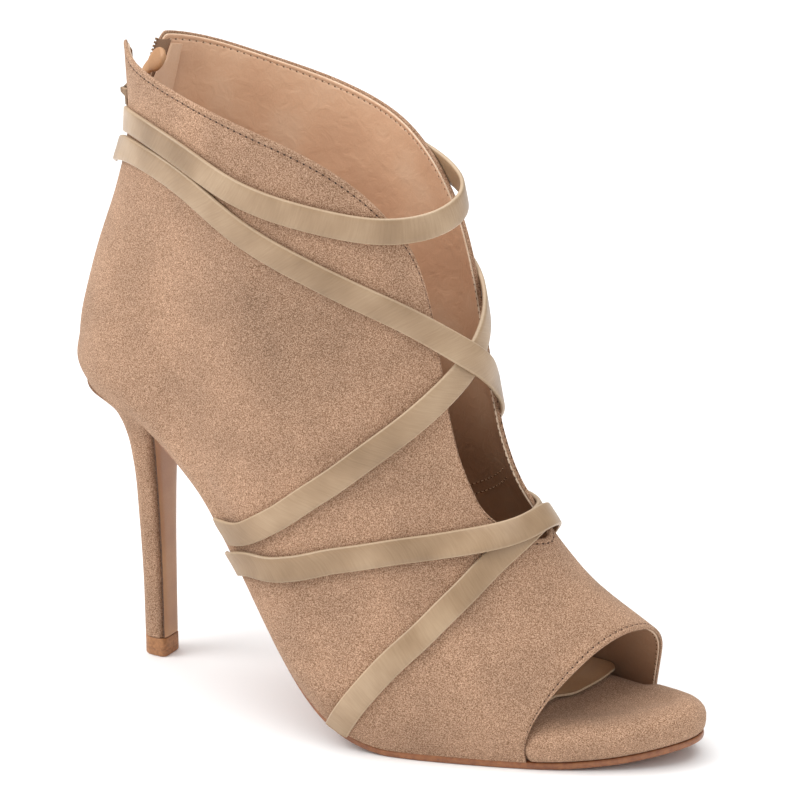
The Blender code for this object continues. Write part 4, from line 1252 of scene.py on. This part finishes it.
def build_slider():
    """Slider with softened edges, its outer plate drawn in close to the seam."""
    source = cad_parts["zip_slider"]
    work = bmesh.new()
    work.from_mesh(source.data)
    work.transform(source.matrix_world)
    bmesh.ops.remove_doubles(work, verts=work.verts, dist=1e-6)
    middle = hinge_place()[0]
    for vert in work.verts:
        vert.co.x = middle + (vert.co.x - middle) * SLIDER_DEPTH
    sharp = [e for e in work.edges if e.is_manifold and e.calc_face_angle() > 0.7]
    bmesh.ops.bevel(work, geom=sharp, offset=0.00015, segments=1, affect="EDGES")
    mesh = bpy.data.meshes.new("slider_body")
    work.to_mesh(mesh)
    work.free()
    mesh.materials.append(ZIP_METAL)
    wear(placed("slider_body", mesh), "boot", "zip_slider", slot="zip_metal")


def build_pull():
    """Leather tab, its end round, held by a small metal clip at the pin."""
    pin = hinge_place()
    along = np.array([np.cos(TAB_LEAN), 0.0, np.sin(TAB_LEAN)])
    up = np.array([-np.sin(TAB_LEAN), 0.0, np.cos(TAB_LEAN)])
    side = np.array([0.0, 1.0, 0.0])
    radius = PULL_WIDTH / 2 * TAB_WIDER
    foot = PULL_WIDTH * 0.24
    neck = radius * 0.52
    centre = PULL_LENGTH - radius
    rows = [(0.0030, foot), (0.0044, neck), (0.0062, radius * 0.68), (0.0090, radius * 0.80)]
    rows += [(centre + radius * np.sin(t), max(radius * np.cos(t), 0.00025))
             for t in np.linspace(-0.9, pi / 2, 22)]
    section = [(np.cos(t), np.sin(t)) for t in np.linspace(0, 2 * pi, 25)[:-1]]
    rings = []
    for distance, half in rows:
        turn = TAB_TWIST * smooth((distance - 0.0040) / 0.0085)
        thick = PULL_THICK + (TAB_PUFF - PULL_THICK) * smooth((distance - 0.006) / 0.006)
        thick *= min(1.0, (half / radius + 0.05) * 1.6)
        across = side * np.cos(turn) + up * np.sin(turn)
        raised = up * np.cos(turn) - side * np.sin(turn)
        rings.append([pin + along * distance + across * np.sign(c) * abs(c)**0.6 * half
                      + raised * np.sign(s) * abs(s)**0.8 * thick / 2 for c, s in section])
    item = tube("pull_tab_leather", rings, [PULL])
    wear(item, "pull", "zip_pull", slot="tan_pull")

    rings = []
    for distance, half, grow in ((-0.0007, foot, 0.0), (-0.0005, foot, 0.00012),
                                 (0.0030, foot, 0.00014), (0.0042, neck, 0.00016),
                                 (0.0044, neck, 0.0)):
        rings.append([pin + along * distance + side * np.sign(c) * abs(c)**0.4 * (half + grow)
                      + up * np.sign(s) * abs(s)**0.4 * (PULL_THICK / 2 + grow)
                      for c, s in section])
    item = tube("pull_tab_clip", rings, [ZIP_METAL])
    wear(item, "pull", slot="zip_metal")


NAP = ("816148", "A8846A", "CCA98E")
UPPER_SUEDE, WRAP_SUEDE, HEEL_SUEDE = (
    suede("brushed_microsuede" + part, *NAP) for part in ("", "_wrap", "_heel"))
# the lining carries painted shade, darker low down inside the boot
LINING = smooth_leather("coated_lining", "D1A787", "DAB190", "DEBA9B", rough=0.42, wrinkle=0.45,
                        grain=0.12, painted_low_shade=0.55)
CUT_EDGE = plain_finish("lining_cut_edge", "DECAB3", "CDAF92", 0.6, 1.5)
STRAP = strap_leather("folded_strap_leather", "8B7053", "9F8365", "B29779")
STRAP_END = plain_finish("cut_strap_end", "847461", "665748", 0.8, 2.0)
SOCK_LEATHER = smooth_leather("coated_sock", "AF8B69", "BE9A77", "C9A887", rough=0.45,
                              wrinkle=0.2, grain=0.15)
SOCK_CUT = plain_finish("sock_cut_edge", "DAC3A6", "C4A686", 0.7, 2.0)
OUTSOLE = plain_finish("polished_sole_edge", "986039", "7F4B2C", 0.42, 0.5, bump=0.1,
                       Coat_Weight=0.25, Coat_Roughness=0.3)
BREAST = smooth_leather("coated_heel_breast", "AB7F5E", "B78B66", "C09772", rough=0.4, grain=0.1)
BREAST_CUT = plain_finish("heel_breast_cut_edge", "63442F", "442E20", 0.8, 1.0)
TOP_PIECE = plain_finish("moulded_top_piece", "AB774D", "90633F", 0.5, 0.9)
TAPE = woven("woven_zip_tape", "896B55", "AE9078", 0.5)
TEETH = plain_finish("moulded_zip_teeth", "9C7959", "654D3B", 0.4, 1.2)
ZIP_METAL = plain_finish("plated_zip_alloy", "9C8269", "7C6754", 0.40, 1.5, metal=0.6, bump=0.1)
PULL = smooth_leather("coated_pull_tab", "9C704B", "AE815A", "BC9069", rough=0.42, grain=0.2)
GUARD = smooth_leather("coated_zip_guard", "D1AA89", "DAB596", "E0C0A5", rough=0.45, grain=0.1)
THREAD_SUEDE = plain_finish("twisted_thread_taupe", "9B7A63", "83634F", 0.8, 4.0)
THREAD_LINING = plain_finish("twisted_thread_pale", "E0CCB3", "CDB090", 0.6, 4.0)
# needle holes: small dark pieces of painted shade, standing for the hollow of each hole
NEEDLE_HOLE_SHADE = plain_finish("needle_hole", "39261C", "2A1B13", 0.9, 1.0)
LINING_NEEDLE_HOLE_SHADE = plain_finish("needle_hole_lining_painted_shade", "745037", "603F2A", 0.9, 1.0)

wall = Wall(CELL)
ROW_TREE = repeat_tree()
build_upper()
build_straps()
build_footbed()
build_sock()
build_outsole()
build_heel()
build_stitching()
build_zip()
build_pull()
build_slider()

# Pale floor and soft studio light
floor_mesh = bpy.data.meshes.new("floor")
floor_mesh.from_pydata([(-6, -6, 0), (6, -6, 0), (6, 6, 0), (-6, 6, 0)], [], [(0, 1, 2, 3)])
floor_paint, _, floor_shader = new_material(
    "white_studio_floor", Roughness=0.9, Specular_IOR_Level=0.1)
floor_shader.inputs["Base Color"].default_value = srgb("FAFAFA")
floor_mesh.materials.append(floor_paint)
placed("floor", floor_mesh)

LIT_POINT = Vector((-0.04, 0.0, 0.09))
SOFTBOXES = (
    # name place size power
    ("top_softbox", (-0.3, 0.0, 2.4), 3.6, 64),
    ("left_softbox", (-1.25, -0.95, 1.25), 1.1, 15),
    ("right_softbox", (1.4, -0.5, 1.1), 0.9, 4),
)
for name, place, size, power in SOFTBOXES:
    light = bpy.data.lights.new(name, "AREA")
    light.shape = "SQUARE"
    light.size = size
    light.energy = power
    item = placed(name, light)
    item.location = place
    item.rotation_euler = (LIT_POINT - item.location).to_track_quat("-Z", "Y").to_euler()
world = bpy.data.worlds.new("studio")
bpy.context.scene.world = world
world.use_nodes = True
background = world.node_tree.nodes["Background"].inputs
background["Color"].default_value = srgb("FFFFFF")
background["Strength"].default_value = 0.38
bpy.context.scene.view_settings.view_transform = "Standard"
bpy.context.scene.view_settings.exposure = 0.27
